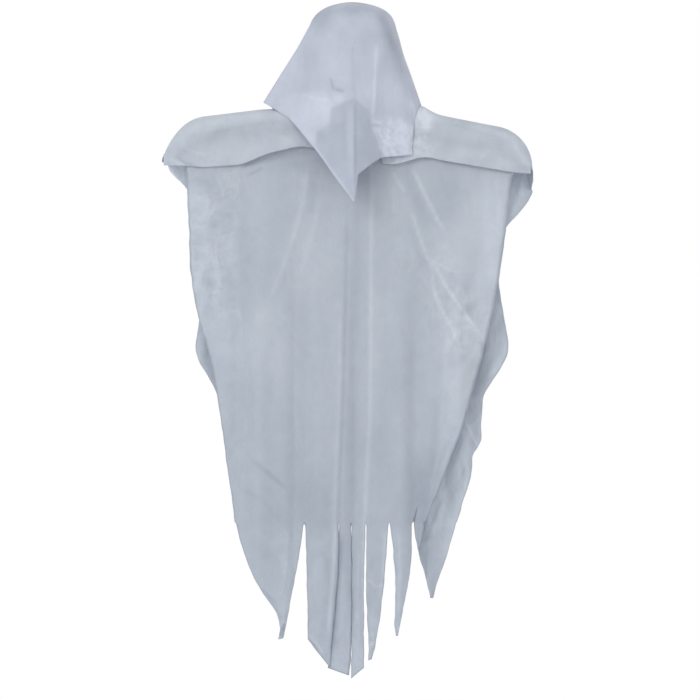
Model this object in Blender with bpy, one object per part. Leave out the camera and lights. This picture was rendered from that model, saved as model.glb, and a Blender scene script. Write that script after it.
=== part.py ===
"""A hanging fabric ghost: a foam head and a padded shoulder bar that carry three sheets of sheer cloth.

Metres, +Z up. The origin is the crown of the hood, the point that the ghost hangs from. The front faces
-Y, and +X is to the right as the front is seen.
"""

import math
from collections import namedtuple

import bmesh
import bpy
import numpy as np
from mathutils import Matrix, Vector

# Cloth, and the clearance between pieces that touch
CLOTH = 0.0010
GAP = 0.0003

# Head ball, and the peg that carries it on the bar
HEAD_DIAMETER = 0.118
NECK_LENGTH = 0.0145
PEG_DIAMETER = 0.008
PEG_IN_HEAD = 0.030
PEG_IN_BAR = 0.014
PEG_EDGE = 0.0008

# Shoulder bar: a round padded roll, arched at the neck and bent down at both shoulders
BAR_DIAMETER = 0.025
BAR_HALF_SPAN = 0.2235
BAR_SLOPE = math.radians(9.0)
BAR_TILT = math.radians(2.0)
NECK_ARC_RADIUS = 0.150
SHOULDER_BEND_RADIUS = 0.035
BAR_END_DROP = 0.005
BAR_END_ROUND = 0.004

# Gown: the level of the slits that cut its hem into strips, below the bar's centre at the neck
SLIT_DROP = 0.550
# The slit before the last strip on the right starts higher
EARLY_SLIT_RISE = 0.021
# How far up the bar from its front the front sheet is stuck, in facets of the bar
STUCK_STEPS = 2
# How far below the bar the cloth takes to come from the bar's shape to the sheet's own width
SPREAD_DROP = 0.040
# How strongly the cloth's columns keep upright near its middle and follow its edges at the sides
COLUMN_SPREAD = 1.7

# Soft vertical folds, full at half the gown's length: how deep, and how much of that may point inwards
FRONT_FOLD_DEPTH = 0.006
BACK_FOLD_DEPTH = 0.007
FOLD_INWARD = 0.6
FOLD_SPACING = 0.085
# The pressed pleat down the front
PLEAT_X = 0.009
PLEAT_WIDTH = 0.008
PLEAT_DEPTH = 0.004
# How far the side edges curl inwards, and how far below the bar the pleat and the curl are full
SIDE_CURL = 0.005
CURL_REACH = 0.150
BACK_STAND_OFF = 0.006

# The back sheet's flap over the shoulders: how far its hem stands off, and how far it hangs at least
FLAP_FLARE = 0.006
FLAP_LEAST_DROP = 0.006
# Hem of the flap, left and right of the neck: (x, drop below the bar's centre at the neck)
FLAP_HEM_LEFT = ((-0.228, 0.078), (-0.147, 0.069), (-0.112, 0.056), (-0.069, 0.046), (-0.048, 0.049))
FLAP_HEM_RIGHT = ((0.041, 0.069), (0.057, 0.071), (0.095, 0.060), (0.124, 0.066), (0.231, 0.070))
# The opening between the flap's two halves, left and right of the neck, from the bar down to the hem
FLAP_OPENING_LEFT = (0.028, 0.034, 0.048, 0.048)
FLAP_OPENING_RIGHT = (0.013, 0.024, 0.034, 0.041)
# What the opening leaves round the peg on top of the bar, and how far down behind the bar it ends
NECK_CLEARANCE = 0.004
NECK_SLIT_END = math.radians(35.0)

# Side edges of the sheets: (drop below the bar's centre at the neck, how far inside the bar's half span)
FRONT_LEFT_INSET = (
    (0.056, 0.000), (0.091, 0.004), (0.206, 0.008), (0.238, 0.012), (0.270, 0.018), (0.309, 0.030),
    (0.340, 0.038), (0.377, 0.044), (0.441, 0.053), (0.550, 0.068),
)
FRONT_RIGHT_INSET = (
    (0.056, 0.000), (0.072, 0.009), (0.118, 0.014), (0.165, 0.020), (0.212, 0.026), (0.267, 0.036),
    (0.325, 0.050), (0.382, 0.066), (0.421, 0.077), (0.455, 0.090), (0.494, 0.104), (0.550, 0.127),
)
BACK_LEFT_INSET = (
    (0.056, -0.008), (0.071, -0.026), (0.081, -0.019), (0.100, 0.004), (0.156, 0.020), (0.246, 0.022),
    (0.281, 0.019), (0.313, 0.013), (0.334, 0.019), (0.356, 0.034), (0.416, 0.060), (0.550, 0.085),
)
BACK_RIGHT_INSET = (
    (0.056, -0.012), (0.100, -0.020), (0.132, -0.003), (0.164, 0.020), (0.217, 0.028), (0.249, 0.025),
    (0.313, 0.013), (0.334, 0.020), (0.377, 0.048), (0.430, 0.050), (0.462, 0.064), (0.516, 0.073),
    (0.550, 0.083),
)

# A strip of the cut hem: how many columns of cloth, x of its left and of its right edge at even steps
# from the slits to the tip, the drop of its two bottom corners below the slits, and how far it stands out
Strip = namedtuple("Strip", "columns left right drops stand")
FRONT_STRIPS = (
    Strip(7, (-0.1555, -0.149, -0.140, -0.130, -0.114, -0.096, -0.098),
          (-0.0633, -0.068, -0.071, -0.077, -0.081, -0.085, -0.093), (0.152, 0.150), 0.004),
    Strip(3, (-0.0633, -0.061, -0.061, -0.060, -0.059, -0.059, -0.059),
          (-0.0173, -0.0175, -0.018, -0.021, -0.024, -0.027, -0.030), (0.152, 0.189), 0.003),
    Strip(2, (-0.0173, -0.016, -0.0165, -0.0195, -0.0225, -0.0255, -0.0285),
          (-0.0013, -0.0015, -0.0015, -0.0015, -0.0015, -0.002, -0.004), (0.190, 0.200), 0.000),
    Strip(2, (-0.0013, 0.000, 0.000, 0.000, 0.000, -0.001, -0.001),
          (0.0187, 0.017, 0.016, 0.016, 0.016, 0.016, 0.016), (0.204, 0.190), 0.002),
    Strip(3, (0.0187, 0.019, 0.019, 0.019, 0.020, 0.022, 0.022),
          (0.0493, 0.046, 0.0445, 0.0415, 0.038, 0.0345, 0.026), (0.180, 0.178), 0.005),
    Strip(3, (0.0493, 0.054, 0.056, 0.058, 0.058, 0.056, 0.058),
          (0.0800, 0.079, 0.079, 0.076, 0.071, 0.066, 0.061), (0.147, 0.147), 0.003),
    Strip(3, (0.0820, 0.083, 0.083, 0.084, 0.085, 0.086, 0.087),
          (0.0965, 0.096, 0.095, 0.094, 0.092, 0.091, 0.089), (0.032, 0.032), 0.000),
)
BACK_STRIPS = (
    Strip(6, (-0.1385, -0.134, -0.126, -0.118, -0.108, -0.098, -0.092),
          (-0.0660, -0.072, -0.075, -0.079, -0.083, -0.086, -0.088), (0.112, 0.110), 0.004),
    Strip(3, (-0.0660, -0.055, -0.053, -0.052, -0.050, -0.050, -0.049),
          (-0.0180, -0.022, -0.026, -0.030, -0.032, -0.035, -0.038), (0.130, 0.136), 0.000),
    Strip(2, (-0.0180, -0.014, -0.013, -0.012, -0.012, -0.011, -0.011),
          (0.0007, -0.004, -0.004, -0.005, -0.005, -0.005, -0.006), (0.150, 0.140), 0.003),
    Strip(2, (0.0007, 0.003, 0.003, 0.004, 0.004, 0.004, 0.005),
          (0.0180, 0.015, 0.014, 0.013, 0.012, 0.012, 0.011), (0.150, 0.158), 0.000),
    Strip(3, (0.0180, 0.021, 0.022, 0.023, 0.024, 0.025, 0.026),
          (0.0500, 0.043, 0.041, 0.039, 0.037, 0.035, 0.033), (0.125, 0.120), 0.002),
    Strip(3, (0.0500, 0.057, 0.059, 0.060, 0.060, 0.061, 0.062),
          (0.0800, 0.077, 0.075, 0.072, 0.070, 0.068, 0.066), (0.110, 0.115), 0.000),
    Strip(5, (0.0820, 0.084, 0.087, 0.091, 0.097, 0.101, 0.105),
          (0.1405, 0.135, 0.130, 0.125, 0.119, 0.112, 0.108), (0.099, 0.099), 0.004),
)

# Hood hem where it hangs clear: (x, how far it stands out from the cloth over the bar, drop below the bar's
# centre at the neck). In front the points run from the left shoulder to the right, and behind back again
HOOD_FRONT_HEM = (
    (-0.064, 0.016, 0.033), (-0.048, 0.028, 0.053), (0.003, 0.059, 0.1235), (0.008, 0.056, 0.0855),
    (0.021, 0.053, 0.075), (0.039, 0.045, 0.062), (0.079, 0.021, 0.0515),
)
HOOD_BACK_HEM = (
    (0.070, 0.019, 0.026), (0.035, 0.042, 0.064), (0.000, 0.063, 0.116), (-0.040, 0.041, 0.069),
    (-0.070, 0.021, 0.034),
)
# Hood hem where it lies over the shoulders: x behind the bar, on top of it and in front of it
HOOD_ON_LEFT = (-0.092, -0.116, -0.084)
HOOD_ON_RIGHT = (0.090, 0.089, 0.082)
# How far the hood's cloth stays off what it lies on, and the depth of its soft folds
HOOD_REST = 0.0006
HOOD_FOLD_DEPTH = 0.0030
# How far the cloth stands off beside the crown: on both sides, and more to the right than to the left
CROWN_SWELL = 0.0050
CROWN_SWELL_LEAN = 0.0025

# Facets
HEAD_SEGMENTS = 24
HEAD_RINGS = 14
BAR_SEGMENTS = 12
SHOULDER_FACETS = 4
PEG_SEGMENTS = 16
FLAP_ROWS = 4
HANG_ROWS = 18
HANG_ROW_GROWTH = 1.4
STRIP_ROWS = 6
HOOD_COLUMNS = 44
HOOD_CROWN_RINGS = 8
HOOD_SKIRT_RINGS = 7

# Places worked out from the sizes above
HEAD_RADIUS = HEAD_DIAMETER / 2
BAR_RADIUS = BAR_DIAMETER / 2
PEG_RADIUS = PEG_DIAMETER / 2
HOOD_RADIUS = HEAD_RADIUS + GAP + HOOD_REST + CLOTH / 2
HEAD_CENTRE_Z = -(HOOD_RADIUS + CLOTH / 2)
HEAD_FOOT_Z = HEAD_CENTRE_Z - HEAD_RADIUS
BAR_TOP_Z = HEAD_FOOT_Z - NECK_LENGTH
BAR_CENTRE_Z = BAR_TOP_Z - BAR_RADIUS
SLIT_Z = BAR_CENTRE_Z - SLIT_DROP
FRONT_RADIUS = BAR_RADIUS + GAP + CLOTH / 2
BACK_RADIUS = FRONT_RADIUS + CLOTH + GAP
HOOD_ON_BAR_RADIUS = BACK_RADIUS + CLOTH + GAP + HOOD_REST
BAR_FACET = 2 * math.pi / BAR_SEGMENTS
OVER_BAR_ROWS = BAR_SEGMENTS // 2
# Lengths along the bar's centreline: its arch at the neck, its sloping part and its bend
ARCH_END_X = NECK_ARC_RADIUS * math.sin(BAR_SLOPE)
ARCH_RUN = NECK_ARC_RADIUS * BAR_SLOPE
SLOPE_WIDTH = BAR_HALF_SPAN - ARCH_END_X - SHOULDER_BEND_RADIUS * (1 - math.sin(BAR_SLOPE))
SLOPE_RUN = SLOPE_WIDTH / math.cos(BAR_SLOPE)
BEND_RUN = SHOULDER_BEND_RADIUS * (math.pi / 2 - BAR_SLOPE)
BEND_START = ARCH_RUN + SLOPE_RUN
BAR_HALF_LENGTH = BEND_START + BEND_RUN + BAR_END_DROP
# Where the bar's rings and the outer columns of the sheets over it lie, so that their facets keep apart
SHOULDER_RUNS = [BEND_START + BEND_RUN * k / SHOULDER_FACETS for k in range(SHOULDER_FACETS + 1)]
SHOULDER_RUNS.append(BAR_HALF_LENGTH)

# A hanging sheet: its strips and side edges, its radius on the bar, the way it faces (-1 front, 1 back), the
# depth and shift of its folds, the depth of its pleat, and how far its lower part stands out
Sheet = namedtuple("Sheet", "strips left_inset right_inset radius faces folds shift pleat stand_off")
FRONT = Sheet(FRONT_STRIPS, FRONT_LEFT_INSET, FRONT_RIGHT_INSET, FRONT_RADIUS, -1, FRONT_FOLD_DEPTH, 3.7,
              PLEAT_DEPTH, 0.0)
BACK = Sheet(BACK_STRIPS, BACK_LEFT_INSET, BACK_RIGHT_INSET, BACK_RADIUS, 1, BACK_FOLD_DEPTH, 2.4,
             0.0, BACK_STAND_OFF)


def eased(share):
    """0 to 1, level at both ends."""
    share = min(max(share, 0.0), 1.0)
    return share * share * (3 - 2 * share)


def read_points(points, at):
    """The second number of a list of points, at a place along their first numbers."""
    return float(np.interp(at, [p[0] for p in points], [p[1] for p in points]))


def read_steps(values, share):
    """A value from a list that is spread evenly over 0 to 1."""
    return float(np.interp(share, np.linspace(0.0, 1.0, len(values)), values))


def tilted(x, z):
    """A direction or a place in the bar's upright plane, turned by the bar's tilt."""
    cos, sin = math.cos(BAR_TILT), math.sin(BAR_TILT)
    return Vector((x * cos + z * sin, 0.0, z * cos - x * sin))


def bar_station(run):
    """The bar's centreline at a signed length from the neck: the place, and the way out of the bend there."""
    side, run = math.copysign(1.0, run), abs(run)
    angle = min(run, ARCH_RUN) / NECK_ARC_RADIUS
    x = NECK_ARC_RADIUS * math.sin(angle)
    z = NECK_ARC_RADIUS * (math.cos(angle) - 1)
    sloping = min(max(run - ARCH_RUN, 0.0), SLOPE_RUN)
    x += sloping * math.cos(BAR_SLOPE)
    z -= sloping * math.sin(BAR_SLOPE)
    bent = min(max(run - BEND_START, 0.0), BEND_RUN)
    if bent > 0:
        angle = BAR_SLOPE + bent / SHOULDER_BEND_RADIUS
        x += SHOULDER_BEND_RADIUS * (math.sin(angle) - math.sin(BAR_SLOPE))
        z += SHOULDER_BEND_RADIUS * (math.cos(angle) - math.cos(BAR_SLOPE))
    z -= max(run - BEND_START - BEND_RUN, 0.0)
    place = tilted(side * x, z) + Vector((0.0, 0.0, BAR_CENTRE_Z))
    return place, tilted(side * math.sin(angle), math.cos(angle))


def round_bar(run, radius, forward):
    """A point round the bar's centreline. forward is 0 out of the bend and a right angle at the front."""
    place, outward = bar_station(run)
    front = Vector((0.0, -1.0, 0.0))
    return place + radius * (math.cos(forward) * outward + math.sin(forward) * front)


def run_at(x):
    """The length along the bar at which its sloping part has this x."""
    side, level = math.copysign(1.0, x), abs(x)
    drop = math.tan(BAR_SLOPE) * max(level - ARCH_END_X, 0.0)
    level = level / math.cos(BAR_TILT) + side * drop * math.sin(BAR_TILT)
    return side * (ARCH_RUN + (level - ARCH_END_X) / math.cos(BAR_SLOPE))


def bar_end_level():
    """How far the lower of the bar's two ends lies below the bar's centre at the neck."""
    ends = [bar_station(side * BAR_HALF_LENGTH)[0].z for side in (-1, 1)]
    return BAR_CENTRE_Z - min(ends) + GAP


BAR_END_LEVEL = bar_end_level()


def below_bar(drop, reach):
    """0 beside the bar, and rising to 1 within a reach below its turned-down ends."""
    return eased((drop - BAR_END_LEVEL) / reach)


def finished(bm, name, colour, roughness):
    """Puts a mesh into the scene as a named object with its own material."""
    bmesh.ops.recalc_face_normals(bm, faces=bm.faces)
    mesh = bpy.data.meshes.new(name)
    bm.to_mesh(mesh)
    bm.free()
    mesh.shade_smooth()
    mesh.set_sharp_from_angle(angle=math.radians(40.0))
    material = bpy.data.materials.new(name)
    material.use_nodes = True
    shader = material.node_tree.nodes["Principled BSDF"]
    shader.inputs["Base Color"].default_value = (*colour, 1.0)
    shader.inputs["Roughness"].default_value = roughness
    shader.inputs["Metallic"].default_value = 0.0
    mesh.materials.append(material)
    obj = bpy.data.objects.new(name, mesh)
    bpy.context.scene.collection.objects.link(obj)
    return obj


def thickened(obj):
    """Gives a sheet the cloth's thickness, half to each side."""
    cloth = obj.modifiers.new("cloth", "SOLIDIFY")
    cloth.thickness = CLOTH
    cloth.offset = 0.0


def cut_socket(obj, mouth_z, depth):
    """Bores an upright hole for the peg into a piece, from a mouth to a depth on either side of it."""
    bm = bmesh.new()
    size = {"radius1": PEG_RADIUS + GAP, "radius2": PEG_RADIUS + GAP, "depth": 2 * depth}
    bmesh.ops.create_cone(bm, cap_ends=True, segments=PEG_SEGMENTS, **size)
    mesh = bpy.data.meshes.new(obj.name + "_cutter")
    bm.to_mesh(mesh)
    bm.free()
    cutter = bpy.data.objects.new(obj.name + "_cutter", mesh)
    cutter.location = (0.0, 0.0, mouth_z)
    cutter.hide_render = True
    cutter.display_type = "WIRE"
    bpy.context.scene.collection.objects.link(cutter)
    hole = obj.modifiers.new("peg hole", "BOOLEAN")
    hole.operation = "DIFFERENCE"
    hole.object = cutter


def build_head():
    """The foam ball under the hood, with the peg's hole in its underside."""
    bm = bmesh.new()
    place = Matrix.Translation((0.0, 0.0, HEAD_CENTRE_Z))
    bmesh.ops.create_uvsphere(
        bm, u_segments=HEAD_SEGMENTS, v_segments=HEAD_RINGS, radius=HEAD_RADIUS, matrix=place
    )
    head = finished(bm, "head_ball", (0.86, 0.87, 0.88), 0.75)
    cut_socket(head, HEAD_FOOT_Z, PEG_IN_HEAD + GAP)


def build_peg():
    """The round peg that stands in the bar and carries the head, with both its ends chamfered."""
    top, foot = HEAD_FOOT_Z + PEG_IN_HEAD, BAR_TOP_Z - PEG_IN_BAR
    bm = bmesh.new()
    place = Matrix.Translation((0.0, 0.0, (top + foot) / 2))
    bmesh.ops.create_cone(
        bm, cap_ends=True, segments=PEG_SEGMENTS, radius1=PEG_RADIUS, radius2=PEG_RADIUS, depth=top - foot,
        matrix=place,
    )
    rims = [edge for edge in bm.edges if abs(edge.verts[0].co.z - edge.verts[1].co.z) < GAP]
    bmesh.ops.bevel(bm, geom=rims, offset=PEG_EDGE, segments=1, affect="EDGES")
    finished(bm, "neck_peg", (0.62, 0.48, 0.32), 0.6)


def build_bar():
    """The padded roll: a round section carried along the arched centreline, with softly rounded ends."""
    half = [0.0, ARCH_RUN / 2, ARCH_RUN] + SHOULDER_RUNS[:-1]
    insets = [0.0] * (len(half) + 1) + [BAR_END_ROUND * 0.3, BAR_END_ROUND]
    half += [BAR_HALF_LENGTH - BAR_END_ROUND * share for share in (1.0, 0.3, 0.0)]
    runs = [-run for run in reversed(half[1:])] + half
    insets = list(reversed(insets[1:])) + insets
    bm = bmesh.new()
    rings = []
    for run, inset in zip(runs, insets):
        ring = [round_bar(run, BAR_RADIUS - inset, BAR_FACET * k) for k in range(BAR_SEGMENTS)]
        rings.append([bm.verts.new(point) for point in ring])
    for first, second in zip(rings, rings[1:]):
        for k in range(BAR_SEGMENTS):
            after = (k + 1) % BAR_SEGMENTS
            bm.faces.new((first[k], first[after], second[after], second[k]))
    bm.faces.new(rings[0])
    bm.faces.new(rings[-1])
    bar = finished(bm, "shoulder_bar", (0.84, 0.86, 0.88), 0.85)
    cut_socket(bar, BAR_TOP_Z, PEG_IN_BAR + GAP)


def columns_at_slits(strips):
    """x of each column of a sheet at the level of the slits, and the columns at which the slits lie."""
    xs, slits = [strips[0].left[0]], []
    for strip in strips:
        xs += [float(x) for x in np.linspace(strip.left[0], strip.right[0], strip.columns + 1)[1:]]
        slits.append(len(xs) - 1)
    return xs, slits[:-1]


def strip_of(strips, column, lip):
    """The strip of a column, and how far across it. At a slit, lip is -1 or 1 for its two sides."""
    first = 0
    for strip in strips:
        last = first + strip.columns
        if column < last or (column == last and lip < 0) or strip is strips[-1]:
            return strip, (column - first) / strip.columns
        first = last


def edge_at(sheet, x, drop):
    """x of a sheet's side edge at a drop below the bar's centre, on the side that x lies on."""
    scaled = drop * sheet.left_inset[-1][0] / SLIT_DROP
    if x < 0:
        return read_points(sheet.left_inset, scaled) - BAR_HALF_SPAN
    return BAR_HALF_SPAN - read_points(sheet.right_inset, scaled)


def spread(x, edge, edge_here):
    """Carries a column's x from where the edge is at one place to where it is here."""
    return x + (edge_here - edge) * abs(x / edge) ** COLUMN_SPREAD


def column_run(xs, column):
    """Where a column lies along the bar: the outer ones on the bar's own rings, the rest between them."""
    from_edge = min(column, len(xs) - 1 - column)
    side = math.copysign(1.0, xs[column])
    if from_edge < len(SHOULDER_RUNS):
        return side * SHOULDER_RUNS[-1 - from_edge]
    last = len(SHOULDER_RUNS) - 1
    inner = xs[last] if side < 0 else xs[-1 - last]
    return spread(xs[column], inner, side * BEND_START)


def stand_out(sheet, x, share, drop):
    """How far a sheet stands out from the bar's side: soft folds, a pleat, curled edges and a steady part."""
    full = below_bar(drop, SLIT_DROP * 0.5)
    turn = 2 * math.pi * x / FOLD_SPACING + sheet.shift
    wave = (math.sin(turn) + 0.5 * math.sin(2.2 * turn + 1.3)) / 1.5
    fold = sheet.folds * full * max(wave, -FOLD_INWARD)
    near = below_bar(drop, CURL_REACH)
    pleat = sheet.pleat * near * math.exp(-(((x - PLEAT_X) / PLEAT_WIDTH) ** 2))
    curl = SIDE_CURL * near * share**6
    return fold + pleat - curl + sheet.stand_off * full


def hanging_point(sheet, xs, column, lip, row, top):
    """A point of a sheet below the bar. row counts down from the bar, and top is the column's place on it."""
    x0 = xs[column]
    edge = xs[0] if x0 < 0 else xs[-1]
    share = abs(x0 / edge)
    stand = 0.0
    if row < HANG_ROWS or (row == HANG_ROWS and lip == 0):
        level = min(row / (HANG_ROWS - 1), 1.0) ** HANG_ROW_GROWTH
        z = SLIT_Z if row == HANG_ROWS else top.z + (SLIT_Z + EARLY_SLIT_RISE - top.z) * level
        x = spread(x0, edge, edge_at(sheet, x0, BAR_CENTRE_Z - z))
        x = top.x + (x - top.x) * eased((top.z - z) / (SPREAD_DROP * (1.25 - share**4)))
    else:
        strip, across = strip_of(sheet.strips, column, lip)
        down = (row - HANG_ROWS) / STRIP_ROWS
        x = read_steps(strip.left, down) * (1 - across) + read_steps(strip.right, down) * across
        x = spread(x, edge, edge_at(sheet, x0, SLIT_DROP))
        z = SLIT_Z - down * (strip.drops[0] * (1 - across) + strip.drops[1] * across)
        stand = strip.stand * (0.65 + 0.35 * math.sin(math.pi * across)) * eased(2 * down)
    out = stand + stand_out(sheet, x, share, BAR_CENTRE_Z - z)
    return Vector((x, top.y + sheet.faces * out, z))


def front_point(xs, column, lip, row):
    """The front sheet: stuck on the front of the bar, then hanging down to its strips."""
    run = column_run(xs, column)
    if row < STUCK_STEPS:
        return round_bar(run, FRONT_RADIUS, math.pi / 2 - BAR_FACET * (STUCK_STEPS - row))
    top = round_bar(run, FRONT_RADIUS, math.pi / 2)
    return hanging_point(FRONT, xs, column, lip, row - STUCK_STEPS, top)


def opened_run(run, left, row):
    """Moves a column of the back sheet aside for the neck, most at the flap's hem."""
    opening = FLAP_OPENING_LEFT if left else FLAP_OPENING_RIGHT
    if row < FLAP_ROWS:
        half = read_steps(opening, 1 - row / FLAP_ROWS)
    else:
        at_peg = PEG_RADIUS + NECK_CLEARANCE
        half = at_peg + (opening[0] - at_peg) * max(math.cos(BAR_FACET * (row - FLAP_ROWS)), 0.0)
    if abs(run) < BEND_START:
        run = half + abs(run) * (1 - half / BEND_START)
    return -abs(run) if left else abs(run)


def flap_point(run, row):
    """The flap in front of the shoulders, from its hem in row 0 up to the front of the bar."""
    top = round_bar(run, BACK_RADIUS, math.pi / 2)
    hem = read_points(FLAP_HEM_LEFT if run < 0 else FLAP_HEM_RIGHT, top.x)
    hem_z = min(BAR_CENTRE_Z - hem, top.z - FLAP_LEAST_DROP)
    down = 1 - row / FLAP_ROWS
    return Vector((top.x, top.y - FLAP_FLARE * eased(down), top.z + (hem_z - top.z) * down))


def neck_slit_rows():
    """How many rows of the back sheet the slit for the neck crosses, from the flap's hem."""
    return FLAP_ROWS + int((math.pi / 2 + NECK_SLIT_END) / BAR_FACET) + 1


def back_point(xs, column, lip, row):
    """The back sheet: a flap in front of the shoulders, then over the bar, then hanging down behind it."""
    run = column_run(xs, column)
    neck = neck_column()
    if row < neck_slit_rows():
        run = opened_run(run, column < neck or (column == neck and lip < 0), row)
    if row < FLAP_ROWS:
        return flap_point(run, row)
    behind = min(row - FLAP_ROWS, OVER_BAR_ROWS)
    on_bar = round_bar(run, BACK_RADIUS, math.pi / 2 - BAR_FACET * behind)
    if row <= FLAP_ROWS + OVER_BAR_ROWS:
        return on_bar
    return hanging_point(BACK, xs, column, lip, row - FLAP_ROWS - OVER_BAR_ROWS, on_bar)


def neck_column():
    """The back sheet's column that is slit for the neck, the one nearest to the middle."""
    xs, _ = columns_at_slits(BACK_STRIPS)
    return min(range(len(xs)), key=lambda column: abs(xs[column]))


def build_sheet(name, strips, place, rows_above, extra_slits):
    """A sheet of cloth on a grid. The two sides of a slit have points of their own."""
    xs, hem_slits = columns_at_slits(strips)
    slit_row = rows_above + HANG_ROWS
    rows = slit_row + STRIP_ROWS + 1
    slits = [(column, slit_row + 1, rows) for column in hem_slits[:-1]]
    slits += [(hem_slits[-1], slit_row, rows)] + extra_slits
    bm = bmesh.new()
    made = {}

    def vertex(row, column, lip):
        if not any(column == at and first <= row < last for at, first, last in slits):
            lip = 0
        if (row, column, lip) not in made:
            made[row, column, lip] = bm.verts.new(place(xs, column, lip, row))
        return made[row, column, lip]

    for row in range(rows - 1):
        for column in range(len(xs) - 1):
            left = [vertex(row, column, 1), vertex(row + 1, column, 1)]
            bm.faces.new(left + [vertex(row + 1, column + 1, -1), vertex(row, column + 1, -1)])
    thickened(finished(bm, name, (0.50, 0.55, 0.62), 0.8))


def build_gown():
    """The two hanging sheets. The back one is also slit from its flap's hem to behind the neck."""
    build_sheet("front_gown", FRONT_STRIPS, front_point, STUCK_STEPS, [])
    neck_slit = (neck_column(), 0, neck_slit_rows())
    build_sheet("back_gown", BACK_STRIPS, back_point, FLAP_ROWS + OVER_BAR_ROWS, [neck_slit])


def hood_hem():
    """The hood's hem as a closed loop: over the right shoulder, behind, over the left one, in front."""

    def over_bar(xs):
        turns = [BAR_FACET * k - math.pi / 2 for k in range(OVER_BAR_ROWS + 1)]
        runs = [run_at(read_steps(xs, k / OVER_BAR_ROWS)) for k in range(OVER_BAR_ROWS + 1)]
        return [round_bar(run, HOOD_ON_BAR_RADIUS, turn) for run, turn in zip(runs, turns)]

    def clear(points, faces):
        return [Vector((x, faces * (BACK_RADIUS + out), BAR_CENTRE_Z - drop)) for x, out, drop in points]

    hem = over_bar(HOOD_ON_RIGHT)[::-1] + clear(HOOD_BACK_HEM, 1)
    return hem + over_bar(HOOD_ON_LEFT) + clear(HOOD_FRONT_HEM, -1)


def evenly_along(loop, count):
    """Points about evenly apart along a closed loop, with each of its own points kept."""
    after = loop[1:] + loop[:1]
    pitch = sum((b - a).length for a, b in zip(loop, after)) / count
    points = []
    for a, b in zip(loop, after):
        steps = max(1, round((b - a).length / pitch))
        points += [a.lerp(b, k / steps) for k in range(steps)]
    return points


def hood_profile(foot):
    """From the crown down round the head to where the cloth leaves it, then nearly straight to the hem."""
    out = Vector((foot.x, foot.y, 0.0))
    reach = math.hypot(foot.x, foot.y)
    out.normalize()
    fall = foot.z - HEAD_CENTRE_Z
    leaves = math.atan2(fall, reach) + math.acos(min(HOOD_RADIUS / math.hypot(reach, fall), 1.0))
    points = []
    for k in range(1, HOOD_CROWN_RINGS + 1):
        share = k / HOOD_CROWN_RINGS
        turn = math.pi / 2 + (leaves - math.pi / 2) * share
        swell = (CROWN_SWELL + CROWN_SWELL_LEAN * out.x) * math.sin(math.pi * share) ** 2
        height = Vector((0.0, 0.0, HEAD_CENTRE_Z + HOOD_RADIUS * math.sin(turn)))
        points.append(height + out * (HOOD_RADIUS * math.cos(turn) + swell))
    last = points[-1]
    wave = HOOD_FOLD_DEPTH * (out.x + 0.3 + 0.5 * math.sin(5 * math.atan2(foot.y, foot.x)))
    for k in range(1, HOOD_SKIRT_RINGS + 1):
        share = k / HOOD_SKIRT_RINGS
        points.append(last.lerp(foot, share) + out * (wave * math.sin(math.pi * share)))
    return points


def build_hood():
    """The hood: a sheet over the head, with a corner in front and behind, that lies on both shoulders."""
    bm = bmesh.new()
    crown = bm.verts.new((0.0, 0.0, HEAD_CENTRE_Z + HOOD_RADIUS))
    feet = evenly_along(hood_hem(), HOOD_COLUMNS)
    columns = [[bm.verts.new(point) for point in hood_profile(foot)] for foot in feet]
    for left, right in zip(columns, columns[1:] + columns[:1]):
        bm.faces.new((crown, left[0], right[0]))
        for k in range(len(left) - 1):
            bm.faces.new((left[k], left[k + 1], right[k + 1], right[k]))
    thickened(finished(bm, "hood", (0.53, 0.58, 0.66), 0.8))


def main():
    for old in list(bpy.data.objects):
        bpy.data.objects.remove(old)
    build_head()
    build_peg()
    build_bar()
    build_gown()
    build_hood()


main()
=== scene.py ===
"""The look of a hanging fabric ghost: three sheets of sheer cloth over a foam head and a padded shoulder roll.

Metres, +Z up. The origin is the crown of the hood, the front faces -Y, and +X is to the right as the front
is seen. Each sheet is a grid of points, worked out as whole arrays from two numbers: its column, across the
cloth, and its row, from the top of the cloth down to its hem. Places on the front are pairs of millimetres,
to the right of the crown and above it.
"""

import math
from collections import namedtuple

import bpy
import numpy as np
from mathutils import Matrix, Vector


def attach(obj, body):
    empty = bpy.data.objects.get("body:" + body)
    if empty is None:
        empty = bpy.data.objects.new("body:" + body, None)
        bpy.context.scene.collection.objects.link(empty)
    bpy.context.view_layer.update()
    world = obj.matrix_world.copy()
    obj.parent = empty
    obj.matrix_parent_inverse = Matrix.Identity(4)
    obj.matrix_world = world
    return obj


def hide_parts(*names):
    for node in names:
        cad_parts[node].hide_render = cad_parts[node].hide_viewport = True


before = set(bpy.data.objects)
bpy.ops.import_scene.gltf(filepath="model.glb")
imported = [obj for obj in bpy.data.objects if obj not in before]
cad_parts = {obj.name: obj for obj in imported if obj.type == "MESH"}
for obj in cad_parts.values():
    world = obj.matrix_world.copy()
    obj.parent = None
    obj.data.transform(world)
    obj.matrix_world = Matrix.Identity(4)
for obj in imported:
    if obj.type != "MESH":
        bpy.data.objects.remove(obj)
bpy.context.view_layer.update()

# Sizes that the sheets share with the solids that they stand for, a few of them within some millimetres
CLOTH = 0.0005
MM = 0.001
HEAD_CENTRE_Z = -0.0609
HOOD_RADIUS = 0.0604
PEG_RADIUS = 0.004
BAR_CENTRE_Z = -0.1469
BAR_RADIUS = 0.0125
BAR_HALF_SPAN = 0.2235
BAR_SLOPE = math.radians(9.0)
BAR_TILT = math.radians(2.0)
NECK_ARC_RADIUS = 0.15
SHOULDER_BEND_RADIUS = 0.035
BAR_END_DROP = 0.005
BAR_END_LEVEL = 0.0888
FRONT_RADIUS = 0.0133
BACK_RADIUS = 0.0146
HOOD_ON_BAR_RADIUS = 0.0158
SLIT_DROP = 0.546
SLIT_Z = BAR_CENTRE_Z - SLIT_DROP
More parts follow.
